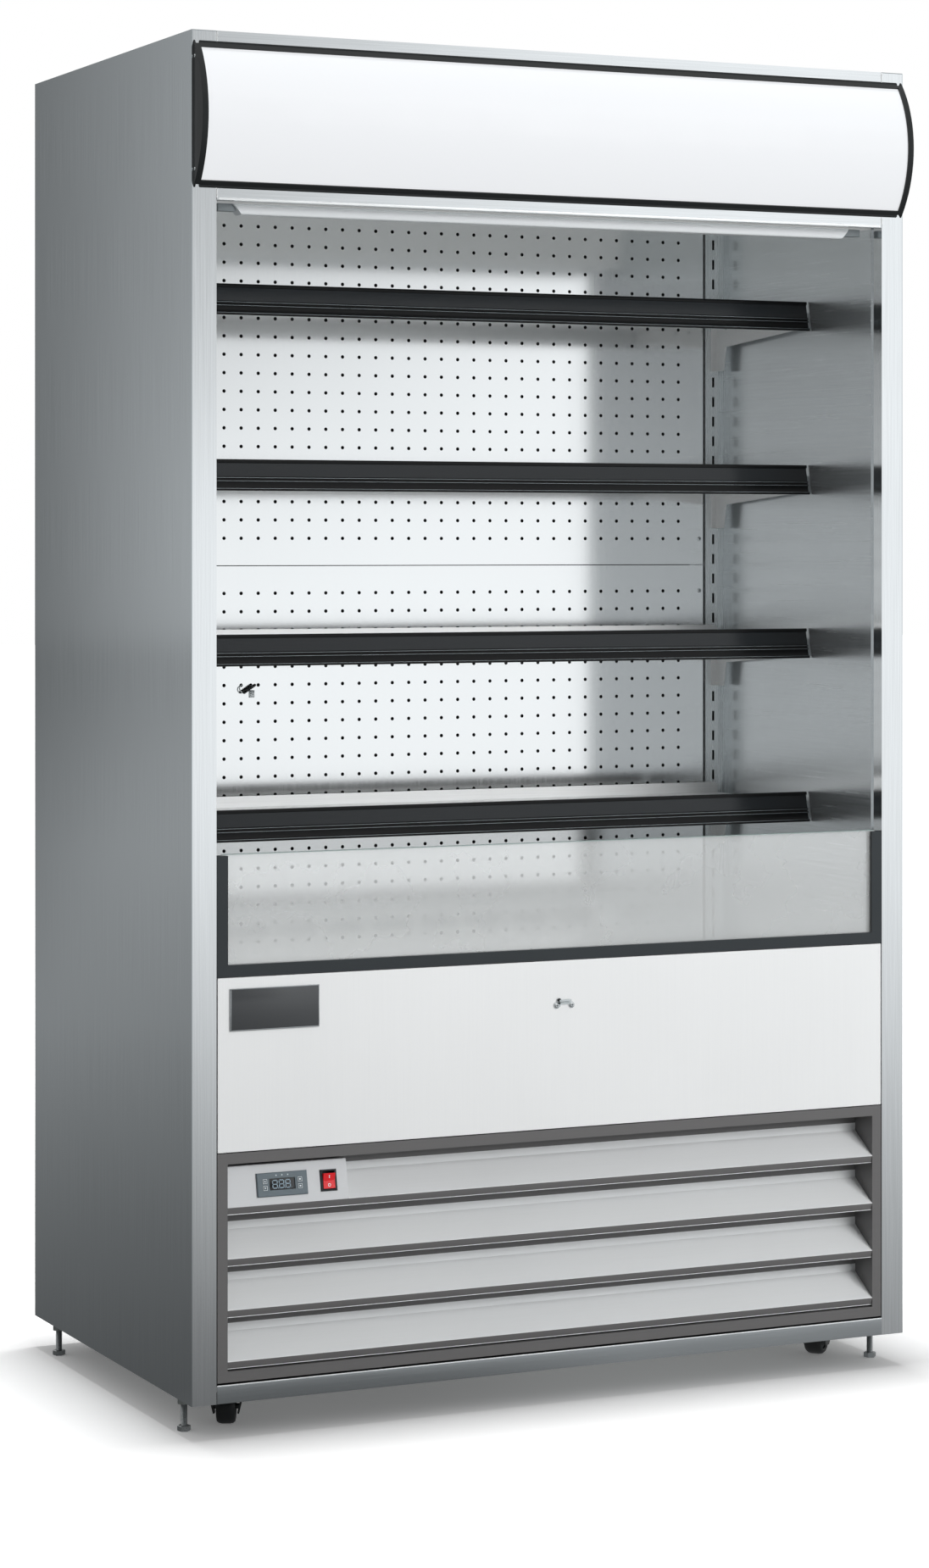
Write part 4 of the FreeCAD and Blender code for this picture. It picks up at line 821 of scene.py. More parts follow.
@dataclass
class ScrewRow:
    """Like pan-head screws at given places, all facing the same way."""

    name: str
    places: Sequence[Sequence[float]]
    facing: tuple[float, float, float]
    radius: float
    height: float
    cross_half: float = 0.32

    def head(self) -> Object:
        """One screw's head, on a thin washer.

        Returns:
            The head, for a pattern.
        """
        r, h = self.radius, self.height
        profile = [(0, r * 1.18), (0.25, r * 1.18), (0.3, r), (h * 0.6, r * 0.94), (h, r * 0.6)]
        return Shape().turned(profile, (0, 0, 0), (0, 0, 1), 20).unplaced(self.name + "_one")

    def cross(self) -> Object:
        """The cross in a screw's head, dark with painted shade.

        Returns:
            The cross, for a pattern.
        """
        arm, half, low, high = self.radius * 0.5, self.cross_half, self.height - 0.1, self.height + 0.06
        shape = Shape().block((-arm, -half, low), (arm, half, high)).block((-half, -arm, low), (half, arm, high))
        return shape.unplaced(self.name + "_cross")

    def build(self, look: Finishes) -> None:
        """Makes the screws, and the crosses in their heads in painted shade.

        Args:
            look: The finishes.
        """
        # The dark crosses are painted shade in the heads' recesses.
        for suffix, one, finish in (("", self.head(), look.screw), ("_recess", self.cross(), look.dark)):
            tree = Pattern("screws_on_points", Screw="Object", Facing="Vector")
            facing = {"Vector": tree.given["Facing"]}
            turned = tree.add("FunctionNodeAlignRotationToVector", facing, axis="Z").outputs[0]
            made = tree.repeated(tree.given["Geometry"], "Screw", Rotation=turned)
            values = {"Screw": one, "Facing": self.facing, "Finish": finish}
            tree.piece(self.name + suffix, made, values, [at(*place) for place in self.places])


# ---------------------------------------------------------------- studio
@dataclass
class Studio:
    """Camera, floor, lamps and the pale room."""

    focal_px: float = 4382.4
    image_height_px: float = 1850.0
    turn_degrees: float = 25.08
    camera_side: float = -1878.0
    camera_front: float = 4923.0
    camera_up: float = 1269.0
    horizon_px: float = 643.8
    sensor_mm: float = 36.0
    room_on_matt: float = 0.4
    floor_size: float = 40.0
    floor_white: float = 1.2
    floor_lift: float = 0.12
    floor_to_matt: float = 0.45
    floor_reach: float = 15.0
    floor_painted_shadow_levels: tuple[Pair, ...] = ((0.4, 0.3), (1.2, 0.4), (4.6, 0.74), (10.0, 0.95), (15.0, 1.0))
    floor_shadow_reach: Pair = (1.5, 3.0)
    low_walls: tuple[Pair, ...] = (
        (-180, 0.03), (-163, 0.03), (-157, 0.80), (-140, 0.5), (-90, 0.35), (-60, 0.45), (-35, 0.6), (-15, 0.6),
        (0, 0.75), (15, 0.9), (22, 1.0), (30, 1.0), (60, 0.9), (90, 0.6), (150, 0.3), (180, 0.03),
    )
    floor_painted_light_by_bearing: tuple[Pair, ...] = (
        (-180, 0.02), (-163, 0.04), (-157, 0.45), (-140, 0.4), (-90, 0.35), (-60, 0.45), (-15, 0.6), (0, 0.75),
        (15, 0.9), (22, 1.0), (60, 0.9), (90, 0.6), (150, 0.3), (180, 0.02),
    )
    high_walls: tuple[Pair, ...] = (
        (-180, 0.06), (-163, 0.10), (-157, 0.62), (-140, 0.5), (-90, 0.3), (-30, 0.15), (0, 0.2), (18, 0.35),
        (27, 1.0), (60, 1.0), (90, 0.6), (180, 0.08),
    )
    softboxes: tuple[tuple[str, tuple[float, float, float], float, float], ...] = (
        ("overhead_softbox", (0.0, 0.1, 12.0), 1.5, 1066.0),
        ("front_softbox", (2.5, -6.0, 3.0), 3.0, 330.0),
    )

    def build(self) -> None:
        """Sets up everything around the cabinet."""
        self.camera()
        self.room()
        self.lamps(self.floor())

    def camera(self) -> None:
        """Level camera at the photograph's viewpoint."""
        data = bpy.data.cameras.new("camera")
        data.sensor_fit = "VERTICAL"
        data.sensor_height = self.sensor_mm
        data.lens = self.focal_px / self.image_height_px * self.sensor_mm
        data.shift_y = (self.horizon_px - self.image_height_px / 2) / self.image_height_px
        data.clip_end = 200.0
        held = in_scene("camera", data)
        held.location = at(self.camera_side, -self.camera_front, self.camera_up)
        held.rotation_euler = (math.radians(90), 0.0, -math.radians(self.turn_degrees))
        bpy.context.scene.camera = held

    def band(self, nodes: Nodes, toward: NodeSocket, stops: Sequence[Pair]) -> NodeSocket:
        """Brightness all round the room at one height, seen in a direction.

        Args:
            nodes: The tree.
            toward: The direction.
            stops: Degrees to the right of the cabinet's front and the level there.

        Returns:
            The brightness as a colour.
        """
        split = nodes.add("SeparateXYZ", {"Vector": toward}).outputs
        angle = nodes.math("ARCTAN2", split["X"], nodes.math("MULTIPLY", split["Y"], -1.0))
        turn = nodes.ranged(angle, 0.0, 1.0, -math.pi, math.pi)
        colours = [(level * 0.97, level, level * 1.02, 1.0) for _, level in stops]
        return nodes.ramp(turn, [(0.5 + stop[0] / 360, colour) for stop, colour in zip(stops, colours)])

    def room(self) -> None:
        """White room to the eye. The metal sees windows on its right, darker walls and a white ceiling."""
        world = bpy.data.worlds.new("pale_room")
        bpy.context.scene.world = world
        nodes = emptied(world)
        toward = nodes.add("TexCoord").outputs["Generated"]
        height = nodes.add("SeparateXYZ", {"Vector": toward}).outputs["Z"]
        level, high = (self.band(nodes, toward, walls) for walls in (self.low_walls, self.high_walls))
        for start, end, above in ((0.0, 0.09, high), (0.2, 0.6, WHITE)):
            share = nodes.ranged(height, 0.0, 1.0, start, end, "SMOOTHSTEP")
            level = nodes.add("Mix", {"Factor": share, 6: level, 7: above}, data_type="RGBA").outputs[2]
        path = nodes.add("LightPath").outputs
        strength = nodes.ranged(path["Is Diffuse Ray"], 1.0, self.room_on_matt)
        reflected = nodes.add("Background", {"Color": level, "Strength": strength}).outputs[0]
        seen = nodes.add("Background", {"Color": WHITE, "Strength": 1.0}).outputs[0]
        either = nodes.math("MAXIMUM", path["Is Camera Ray"], path["Is Transmission Ray"])
        mixed = nodes.add("MixShader", {0: either, 1: reflected, 2: seen})
        nodes.add("OutputWorld", {"Surface": mixed.outputs[0]})

    def floor(self) -> Collection:
        """White floor that keeps the short shadow. In the metal it shows as a glow of painted light and shadow, darker
        towards the cabinet.

        Returns:
            A collection that keeps the floor out of a lamp's light.
        """
        data = bpy.data.meshes.new("studio_floor")
        corners = ((-1, -1), (1, -1), (1, 1), (-1, 1))
        data.from_pydata([(x * self.floor_size, y * self.floor_size, 0) for x, y in corners], [], [(0, 1, 2, 3)])
        material = bpy.data.materials.new("white_floor")
        nodes = emptied(material)
        place = nodes.add("TexCoord").outputs["Object"]
        path = nodes.add("LightPath").outputs
        tone = nodes.ranged(path["Is Camera Ray"], self.floor_to_matt, self.floor_white)
        paper = nodes.spread(nodes.noise(place, 30.0, 2.0), 1.0, 0.004)
        matt = nodes.add("BsdfDiffuse", {"Color": nodes.math("MULTIPLY", tone, paper)}).outputs[0]
        far = nodes.add("VectorMath", {0: place}, operation="LENGTH").outputs["Value"]
        open_floor = nodes.ranged(far, self.floor_lift, 1.0, *self.floor_shadow_reach, "SMOOTHSTEP")
        lift = nodes.math("MULTIPLY", path["Is Camera Ray"], open_floor)
        glow = nodes.add("Emission", {"Color": WHITE, "Strength": lift}).outputs[0]
        plain = nodes.add("AddShader", {0: matt, 1: glow}).outputs[0]
        # Seen in the metal, the floor is a glow of painted light and shadow: brighter to the right of the cabinet's
        # front, darker towards the cabinet.
        levels = [(metres / self.floor_reach, (level, level, level, 1.0)) for metres, level in self.floor_painted_shadow_levels]
        painted_shadow_fade = nodes.ramp(nodes.math("DIVIDE", far, self.floor_reach), levels)
        walls = self.band(nodes, place, self.floor_painted_light_by_bearing)
        mirrored = nodes.add("Emission", {"Color": walls, "Strength": painted_shadow_fade}).outputs[0]
        shown = nodes.add("MixShader", {0: path["Is Glossy Ray"], 1: plain, 2: mirrored})
        nodes.add("OutputMaterial", {"Surface": shown.outputs[0]})
        data.materials.append(material)
        floor = in_scene("studio_floor", data)
        unlit = bpy.data.collections.new("lit_from_above_only")
        unlit.objects.link(floor)
        unlit.collection_objects[0].light_linking.link_state = "EXCLUDE"
        return unlit

    def lamps(self, unlit: Collection) -> None:
        """High overhead softbox for the short shadow, and a wide one in front, both kept out of the metal.

        Args:
            unlit: What the one in front doesn't light.
        """
        for name, place, size, watts in self.softboxes:
            data = bpy.data.lights.new(name, "AREA")
            data.shape = "SQUARE"
            data.size = size
            data.energy = watts
            lamp = in_scene(name, data)
            lamp.location = place
            lamp.rotation_euler = (Vector((0, 0, 1.0)) - Vector(place)).to_track_quat("-Z", "Y").to_euler()
            lamp.visible_glossy = False
            lamp.visible_camera = False
            if name == "front_softbox":
                lamp.light_linking.receiver_collection = unlit


# ---------------------------------------------------------------- sub-assemblies
def spans(start: float, end: float) -> tuple[Pair, Pair]:
    """A span from the cabinet's left side, and its mirror image."""
    return (start, end), (WIDTH - end, WIDTH - start)


@dataclass
class SubAssembly(ABC):
    """A part of the cabinet, with the finishes that it is dressed in."""

    look: Finishes

    @abstractmethod
    def build(self) -> None:
        """Dresses its nodes and draws its pieces."""


@dataclass
class Carcass(SubAssembly):
    """Side panels, pillars, roof, rear, liner, header and kick plate."""

    header_low: float = 1760.0
    header_edge: float = 41.0
    hem: float = 3.5
    hem_proud: float = 0.6
    seam: float = 38.0
    seam_gap: float = 0.8
    seam_edge: float = 0.9
    top: float = 1999.0
    kick_round: float = 2.2
    kick_sheet: float = 1.2
    slot_strip: Pair = (54.0, 72.0)
    slot_strip_behind: float = 504.0
    slot_strip_thick: float = 0.6
    slot_strip_ends: Pair = (600.0, 1829.0)

    def build(self) -> None:
        """Dresses the sheet metal, draws its hems, seams and kick plate, and puts painted shade behind the uprights'
        slots.
        """
        look = self.look
        for finish, *nodes in (
            (look.side, "side_panels"), (look.pillar, "front_pillars"), (look.rear, "outer_casing"),
            (look.foam, "insulation"), (look.liner, "inner_liner"), (look.header, "header_panel"),
            (look.upright, "slotted_uprights"), (look.tray, "deck_and_return_grille"),
            (look.panel, "front_panel"), (look.zinc, "base_frame", "caster_plates"),
        ):
            dress(finish, *nodes)
        self.header()
        self.kick_plate()
        # A dark strip behind each upright's slots is painted shade.
        strips = Shape()
        y, (bottom, top) = self.slot_strip_behind, self.slot_strip_ends
        for x0, x1 in spans(*self.slot_strip):
            strips.block((x0, y, bottom), (x1, y + self.slot_strip_thick, top))
        strips.piece("upright_slot_backs", look.dark)

    def header(self) -> None:
        """Bright hem under the header, a painted highlight, and the seams where it meets the pillars: painted shade in
        each gap and painted highlights on its edges.
        """
        left, right = both(self.header_edge)
        low = self.header_low + self.hem
        hem = Shape().block((left, -self.hem_proud, self.header_low), (right, 0.3, low), 0.25)
        hem.piece("header_hem", self.look.bright)
        gaps, edges = Shape(), Shape()
        half = self.seam_gap / 2
        for side in both(self.seam):
            gaps.block((side - half, -0.12, low), (side + half, 0.1, self.top))
            for x in (side - half - self.seam_edge, side + half):
                edges.block((x, -0.25, low), (x + self.seam_edge, 0.1, self.top), 0.1, 1)
        gaps.piece("header_seams", self.look.dark)
        edges.piece("header_seam_edges", self.look.bright)

    def kick_plate(self) -> None:
        """Folded kick plate, with a bright bead along its top that is a painted highlight."""
        low, high = extent("kick_plate")
        path = [(high.y, low.z), (low.y, low.z), (low.y, high.z), (high.y, high.z)]
        bar = Shape().extruded(eased(folded(path, self.kick_sheet), self.kick_round, 4), low.x, high.x, 0)
        bar.piece("kick_plate_bar", self.look.kick, "kick_plate")
        bead = Shape().block((low.x, low.y - 0.1, high.z - 1.6), (high.x, low.y + 0.9, high.z - 0.5), 0.25)
        bead.piece("kick_plate_edge", self.look.bright)


@dataclass
class Canopy(SubAssembly):
    """Lit sign box across the top: curved opal panel in a black frame."""

    cap_screws: Pair = (1802.0, 1962.0)
    side: float = 3.0
    middle: float = 1880.75
    centre: float = 128.4
    radius: float = 165.4
    highlight_inside: float = 11.0
    bright_mark_width: float = 1.8
    bright_mark_half: float = 0.4
    highlight_degrees: tuple[int, int] = (-36, -2)
    slots: Pair = (1868.0, 1894.0)
    slot_at: float = -32.0
    slot_half: float = 4.0

    def arc(self, radius: float) -> list[Pair]:
        """Points of a painted highlight's curve at a radius, behind and up.

        Args:
            radius: The curve's radius.

        Returns:
            The points.
        """
        low, high = self.highlight_degrees
        turns = [math.radians(degrees) for degrees in range(low, high + 1, 2)]
        return [(self.centre - radius * math.cos(a), self.middle + radius * math.sin(a)) for a in turns]

    def build(self) -> None:
        """Dresses the canopy and adds the screws of its end caps, painted highlight arcs on them and bright bars at
        their slots.
        """
        look = self.look
        dress(look.trim, "canopy_frame")
        dress(look.opal, "canopy_sign_panel")
        dress(look.led, "canopy_led_bars")
        # Arcs on each cap's face: painted highlights.
        outer = self.radius - self.highlight_inside
        outline = self.arc(outer) + self.arc(outer - self.bright_mark_width)[::-1]
        highlights, slots = Shape(), Shape()
        y = self.slot_at
        for side, out, hand in zip(both(self.side), (-1, 1), ("left", "right")):
            x0, x1 = side - self.bright_mark_half, side + self.bright_mark_half
            highlights.extruded(outline, x0, x1, 0)
            places = [(side + out * 0.02, -5.0, z) for z in self.cap_screws]
            ScrewRow("canopy_screws_" + hand, places, (out, 0, 0), 2.4, 1.2).build(look)
            for z in self.slots:
                slots.block((x0, y, z - self.slot_half), (x1, y + self.bright_mark_width, z + self.slot_half), 0.2)
        highlights.piece("canopy_cap_trims", look.bright)
        slots.piece("canopy_cap_slots", look.bright)


@dataclass
class AirOutlet(SubAssembly):
    """Air outlet over the cold space, with the lamp in front of it."""

    lamp_behind: Pair = (32.0, 58.0)
    lamp_up: Pair = (1743.5, 1759.0)
    lamp_side: float = 76.0
    lamp_round: float = 5.0
    slant: float = 13.0
    holder_side: float = 54.0
    holder_grip: float = 6.0
    holder_low: float = 1748.0
    holder_behind: Pair = (37.0, 53.0)

    def build(self) -> None:
        """Dresses the outlet, and draws the lamp and its holders."""
        dress(self.look.outlet, "air_outlet")
        (y0, y1), (z0, z1) = self.lamp_behind, self.lamp_up
        outline = eased([(y0, z0), (y0, z1), (y1, z1), (y1, z0)], self.lamp_round, 4)
        lamp = Shape().extruded(outline, *both(self.lamp_side), 0)
        for vertex in lamp.mesh.verts:
            inward = self.slant * (z1 - vertex.co.z) / (z1 - z0)
            vertex.co.x += inward if vertex.co.x < WIDTH / 2 else -inward
        lamp.piece("lamp_tube_cover", self.look.lamp, "lamp_diffuser")
        holders = Shape()
        front, rear = self.holder_behind
        for x0, x1 in spans(self.holder_side, self.lamp_side + self.holder_grip):
            holders.block((x0, front, self.holder_low), (x1, rear, z1), 1.0)
        holders.piece("lamp_holders", self.look.holder, "lamp_diffuser")


@dataclass
class BackWall(SubAssembly):
    """Two stainless back panels, each a field of round air holes inside a plain border."""

    left: float = 77.6
    face: float = 500.0
    depth: float = 13.5
    sheet: float = 1.0
    fold_gap: float = 0.01
    pitch: float = 28.8
    hole: float = 2.9
    sides: int = 12
    columns: int = 33
    first_column: float = 129.4
    first_row: float = 647.0
    rows_at_most: int = 60
    row_slack: float = 0.2
    low: float = 588.0
    seam: float = 1237.5
    seam_gap: float = 0.7
    top: float = 1828.8
    shade_sheet_behind: float = 2.0
    shade_sheet_inset: float = 2.0
    shade_sheet_thick: float = 0.5
    screw_from_seam: float = 43.0
    screw_from_edge: float = 7.0

    def tile(self) -> Object:
        """One square of sheet with its hole, drawn flat round its middle, face down.

        Returns:
            The square, for a pattern.
        """
        shape, hole, rows = Shape(), self.hole, []
        for i in range(self.sides):
            angle = math.tau * (i + 0.5) / self.sides - math.tau / 8 - math.tau / self.sides / 2
            x, y = math.cos(angle), math.sin(angle)
            reach = self.pitch / 2 / max(abs(x), abs(y))
            edge = (x * reach, y * reach, 0.0)
            rows.append(shape.ring((edge, (x * hole, y * hole, 0.0), (x * hole, y * hole, -self.sheet))))
        for here, after in zip(rows, rows[1:] + rows[:1]):
            for k in (0, 1):
                shape.mesh.faces.new((here[k], after[k], after[k + 1], here[k + 1]))
        return shape.unplaced("holed_square")

    def field(self, name: str, rows: Sequence[float]) -> tuple[float, float, float, float]:
        """Perforated middle of one panel: squares laid out in a grid that is stood upright.

        Args:
            name: The piece's name.
            rows: Heights of its rows of holes.

        Returns:
            The field's left, right, low and high edge.
        """
        tree = Pattern("perforated_field", Square="Object", Columns="Int", Rows="Int", Pitch="Float", Middle="Vector")
        given = tree.given
        size_x, size_y = (
            tree.math("MULTIPLY", tree.math("SUBTRACT", given[title], 1.0), given["Pitch"])
            for title in ("Columns", "Rows")
        )
        sizes = {"Size X": size_x, "Size Y": size_y, "Vertices X": given["Columns"], "Vertices Y": given["Rows"]}
        laid = tree.repeated(tree.add("GeometryNodeMeshGrid", sizes).outputs["Mesh"], "Square")
        joined = tree.add("GeometryNodeMergeByDistance", {"Geometry": laid, "Distance": 0.0001}).outputs[0]
        stand = {"Geometry": joined, "Translation": given["Middle"], "Rotation": (math.radians(90), 0.0, 0.0)}
        stood = tree.add("GeometryNodeTransform", stand).outputs[0]
        half, width = self.pitch / 2, (self.columns - 1) * self.pitch
        middle = at(self.first_column + width / 2, self.face, (rows[0] + rows[-1]) / 2)
        values = {
            "Square": self.tile(), "Columns": self.columns, "Rows": len(rows), "Pitch": self.pitch * MM,
            "Middle": middle, "Finish": self.look.back,
        }
        tree.piece(name, stood, values, stands_for=("back_panels",))
        return self.first_column - half, self.first_column + width + half, rows[0] - half, rows[-1] + half

    def border(self, hole: tuple[float, float, float, float], low: float, high: float) -> Shape:
        """Plain sheet round a field, folded back on all four sides.

        Args:
            hole: The field's left, right, low and high edge.
            low: The panel's lower edge.
            high: Its upper edge.

        Returns:
            The border's shape.
        """
        shape = Shape()
        left, right = both(self.left)
        x0, x1, z0, z1 = hole
        f, t = self.face, self.sheet
        for a, b, c, d in ((left, right, low, z0), (left, right, z1, high), (left, x0, z0, z1), (x1, right, z0, z1)):
            shape.mesh.faces.new(shape.ring(((a, f, c), (b, f, c), (b, f, d), (a, f, d))))
        for a, b, c, d in (
            (left, left + t, low, high), (right - t, right, low, high),
            (left, right, low, low + t), (left, right, high - t, high),
        ):
            shape.block((a, f + self.fold_gap, c), (b, f + self.depth, d))
        return shape

    def build(self) -> None:
        """Makes both panels, a dark sheet of painted shade behind each, and their screws."""
        look, half, inset = self.look, self.pitch / 2, self.shade_sheet_inset
        levels = [self.first_row + i * self.pitch for i in range(self.rows_at_most)]
        left, right = both(self.left)
        y = self.face + self.sheet + self.shade_sheet_behind
        panels = {"lower": (self.low, self.seam - self.seam_gap), "upper": (self.seam + self.seam_gap, self.top)}
        for place, (low, high) in panels.items():
            name = "back_panel_" + place
            rows = [z for z in levels if low + half < z + self.row_slack and z < high - half + self.row_slack]
            edges = self.field(name + "_field", rows)
            self.border(edges, low, high).piece(name + "_border", look.back, "back_panels")
            # The dark sheet is painted shade, for the shade in the duct behind the holes.
            shade_sheet = Shape().block((left + inset, y, low + inset), (right - inset, y + self.shade_sheet_thick, high - inset))
            shade_sheet.piece(name + "_dark_duct", look.dark)
        ups = (self.seam - self.screw_from_seam, self.seam + self.screw_from_seam)
        places = [(side, self.face, up) for side in both(self.left + self.screw_from_edge) for up in ups]
        ScrewRow("back_panel_screws", places, (0, -1, 0), 3.2, 1.4).build(look)


@dataclass
class Shelves(SubAssembly):
    """Four trays on brackets, each with a price rail. A rail's points are given as drop and reach."""

    count: int = 4
    lowest: float = 876.0
    step: float = 260.8
    back: float = 226.0
    lean: float = 10.0
    height: float = 47.0
    side: float = 42.0
    profile: tuple[Pair, ...] = (
        (0.0, 5.0), (5.0, 5.0), (5.0, 2.0), (26.0, 2.0), (26.0, 4.5), (28.5, 4.5), (28.5, 2.0), (31.0, 2.0),
        (31.0, 4.5), (33.5, 4.5), (33.5, 2.0), (42.5, 2.0), (42.5, 6.0), (47.0, 6.0), (47.0, 0.0), (0.0, 0.0),
    )
    strip: tuple[Pair, ...] = ((5.4, 2.0), (5.4, 2.5), (25.6, 2.5), (25.6, 2.0))
    ridges: tuple[Pair, ...] = ((0.35, 4.6), (27.2, 4.35), (32.2, 4.35), (43.4, 5.85))
    ridge_tall: float = 0.5
    ridge_deep: float = 0.3

    def barred(self, shape: Shape, top: float, corners: Sequence[Pair], inset: float, rounding: float = 0.0) -> Shape:
        """Adds a bar along a shelf's front.

        Args:
            shape: The shape that gets it.
            top: The rail's top.
            corners: The bar's points.
            inset: How far it stays inside the rail's ends.
            rounding: How far from each corner its rounding starts.

        Returns:
            The same shape.
        """
        outline = [(self.back - self.lean * drop / self.height - reach, top - drop) for drop, reach in corners]
        if rounding:
            outline = eased(outline, rounding)
        return shape.extruded(outline, *both(self.side + inset), 0)

    def build(self) -> None:
        """Dresses the trays and draws the rails."""
        look, tall, deep = self.look, self.ridge_tall, self.ridge_deep
        for number in range(1, self.count + 1):
            top, body = self.lowest + (self.count - number) * self.step, f"shelf_{number}"
            dress(look.tray, body)
            rail = self.barred(Shape(), top, self.profile, 0.0, 0.5)
            rail.piece(f"ticket_rail_{number}", look.rail, f"price_rail_{number}", body=body)
            self.barred(Shape(), top, self.strip, 1.0).piece(f"ticket_strip_{number}", look.label, body=body)
            # Light grey strips along the rail's ridges: painted highlights.
            lines = Shape()
            for d, r in self.ridges:
                self.barred(lines, top, ((d, r), (d, r + deep), (d + tall, r + deep), (d + tall, r)), 0.5)
            lines.piece(f"ticket_rail_ridges_{number}", look.rail_ridge_highlight, body=body)


@dataclass
class GlassRiser(SubAssembly):
    """Low pane behind the front edge, in a channel on three sides."""

    corner: float = 8.0
    edge: float = 0.9

    def build(self) -> None:
        """Dresses the channels and draws the pane with its ground edge."""
        dress(self.look.channel, "glass_channels")
        low, high = extent("front_glass")
        left, right, cut = low.x + self.corner, high.x - self.corner, high.z - self.corner
        outline = [(low.x, low.z), (high.x, low.z), (high.x, cut), (right, high.z), (left, high.z), (low.x, cut)]
        Shape().extruded(outline, low.y, high.y, 1).piece("glass_pane", self.look.glass, "front_glass")
        edge = Shape().block((left, low.y + 0.4, high.z - 0.5), (right, high.y - 0.4, high.z), 0.2, 1)
        edge.block((left, low.y - 0.15, high.z - self.edge), (right, low.y + 0.1, high.z - 0.1))
        edge.piece("glass_ground_edge", self.look.glass_edge)


@dataclass
class FrontPanel(SubAssembly):
    """Fittings on the front panel: a blank plate and the catch of the night curtain."""

    plate_left: float = 57.7
    plate_width: float = 137.0
    plate_low: float = 578.5
    plate_top: float = 639.0
    plate_thick: float = 3.0
    plate_inset: float = 1.4
    rim: float = 1.6
    catch: float = 588.7
    catch_up: float = 588.3
    catch_screws: float = 24.6
    knob: tuple[Pair, ...] = ((0, 2.6), (1.2, 2.8), (2.4, 2.2), (3.0, 0.0))

    def build(self) -> None:
        """Makes the plate with its bright rim, and the catch."""
        look, node = self.look, "front_panel_fittings"
        x0, z0, z1, t, inset = self.plate_left, self.plate_low, self.plate_top, self.plate_thick, self.plate_inset
        x1 = x0 + self.plate_width
        plate = Shape().block((x0 + inset, -t + 0.15, z0 + inset), (x1 - inset, 0.0, z1 - inset), 0.5)
        plate.piece("blank_plate", look.plate, node)
        Shape().framed((x0, -t, z0), (x1, 0, z1), self.rim, 0.5).piece("blank_plate_rim", look.plate_rim, node)
        z = self.catch_up
        left, right = self.catch - self.catch_screws / 2, self.catch + self.catch_screws / 2
        strap = Shape().block((left - 1, -1.4, z + 1.0), (right + 1, 0, z + 4.5), 0.3)
        strap.block((left, -1.4, z - 2.0), (left + 6, 0, z + 9.0), 0.3)
        strap.block((left + 3, -5.0, z + 5.5), (right - 2, -1.2, z + 8.5), 0.5)
        strap.piece("curtain_catch", look.bracket, node)
        knob = Shape().turned(self.knob, (left + 3.5, -1.4, z + 8.0), (0, -1, 0), 20)
        knob.piece("curtain_catch_knob", look.clip, node)
        places = [(left, -0.9, z), (right, -0.9, z)]
        ScrewRow("curtain_catch_screws", places, (0, -1, 0), 4.0, 2.4).build(look)


@dataclass
class Louvre(SubAssembly):
    """Intake louvre in the front of the base: sloping slats with a turned-down lip, in a mitred frame."""

    sheet: float = 1.2
    run: float = 52.0
    rise: float = 33.0
    flange: float = 22.0
    lip: float = 9.5
    lip_in: float = 2.5
    nose: float = 0.5
    lip_proud: float = 0.35
    line: float = 0.8
    hem: float = 10.0
    pitch: float = 73.0
    top: float = 327.0
    repeated: int = 3
    left: float = 54.7
    first_left: float = 242.2

    def parts(self) -> dict[str, list[Pair]]:
        """Outlines of a slat's four surfaces, behind and up from its nose line.

        Returns:
            The outlines, by the surface's name.
        """
        up, face = self.rise + self.flange, self.run - self.sheet
        y, z = self.nose + self.lip_in, -self.lip
        return {
            "slope": folded([(self.run, up), (self.run, self.rise), (self.nose, 0.0)], self.sheet),
            "lip": folded([(self.nose, 0.6), (self.nose - self.lip_proud, 0.0), (y, z)], -self.sheet),
            "line": [(y - 0.5, z), (y + 0.9, z), (y + 0.9, z - self.line), (y - 0.5, z - self.line)],
            "hem": [(face - 0.3, up - self.hem), (face + 0.1, up - self.hem), (face + 0.1, up), (face - 0.3, up)],
        }

    def build(self) -> None:
        """Dresses the frame, and draws the short slat beside the controls and the row of slats below it."""
        look, half = self.look, WIDTH / 2 - self.left
        dress(look.louvre, "louvre_frame")
        dress(look.control, "control_panel")
        # Lips and hems are the slats' own aluminium, given the frame's darker grey as painted shade. The bright line
        # at each lip's foot is its cut edge.
        finishes = {"slope": look.slat, "lip": look.louvre, "line": look.bright, "hem": look.louvre}
        for kind, outline in self.parts().items():
            rounded = eased(outline, 0.3, 1)
            start = self.left if kind in ("lip", "line") else self.first_left
            short = Shape().extruded([(y, z + self.top) for y, z in rounded], start, WIDTH - self.left, 0)
            short.piece(f"slat_short_{kind}", finishes[kind], "louvre_slats")
            tree = Pattern("row_of_slats", Slat="Object", Count="Int", Step="Vector", First="Vector")
            given = {"Count": "Count", "Start Location": "First", "Offset": "Step"}
            row = tree.add("GeometryNodeMeshLine", {key: tree.given[title] for key, title in given.items()})
            values = {
                "Slat": Shape().extruded(rounded, -half, half, 0).unplaced(f"slat_{kind}_one"),
                "Count": self.repeated, "Step": (0.0, 0.0, -self.pitch * MM),
                "First": at(WIDTH / 2, 0.0, self.top - self.pitch), "Finish": finishes[kind],
            }
            made = tree.repeated(row.outputs[0], "Slat")
            tree.piece(f"slats_{kind}", made, values, stands_for=("louvre_slats",))


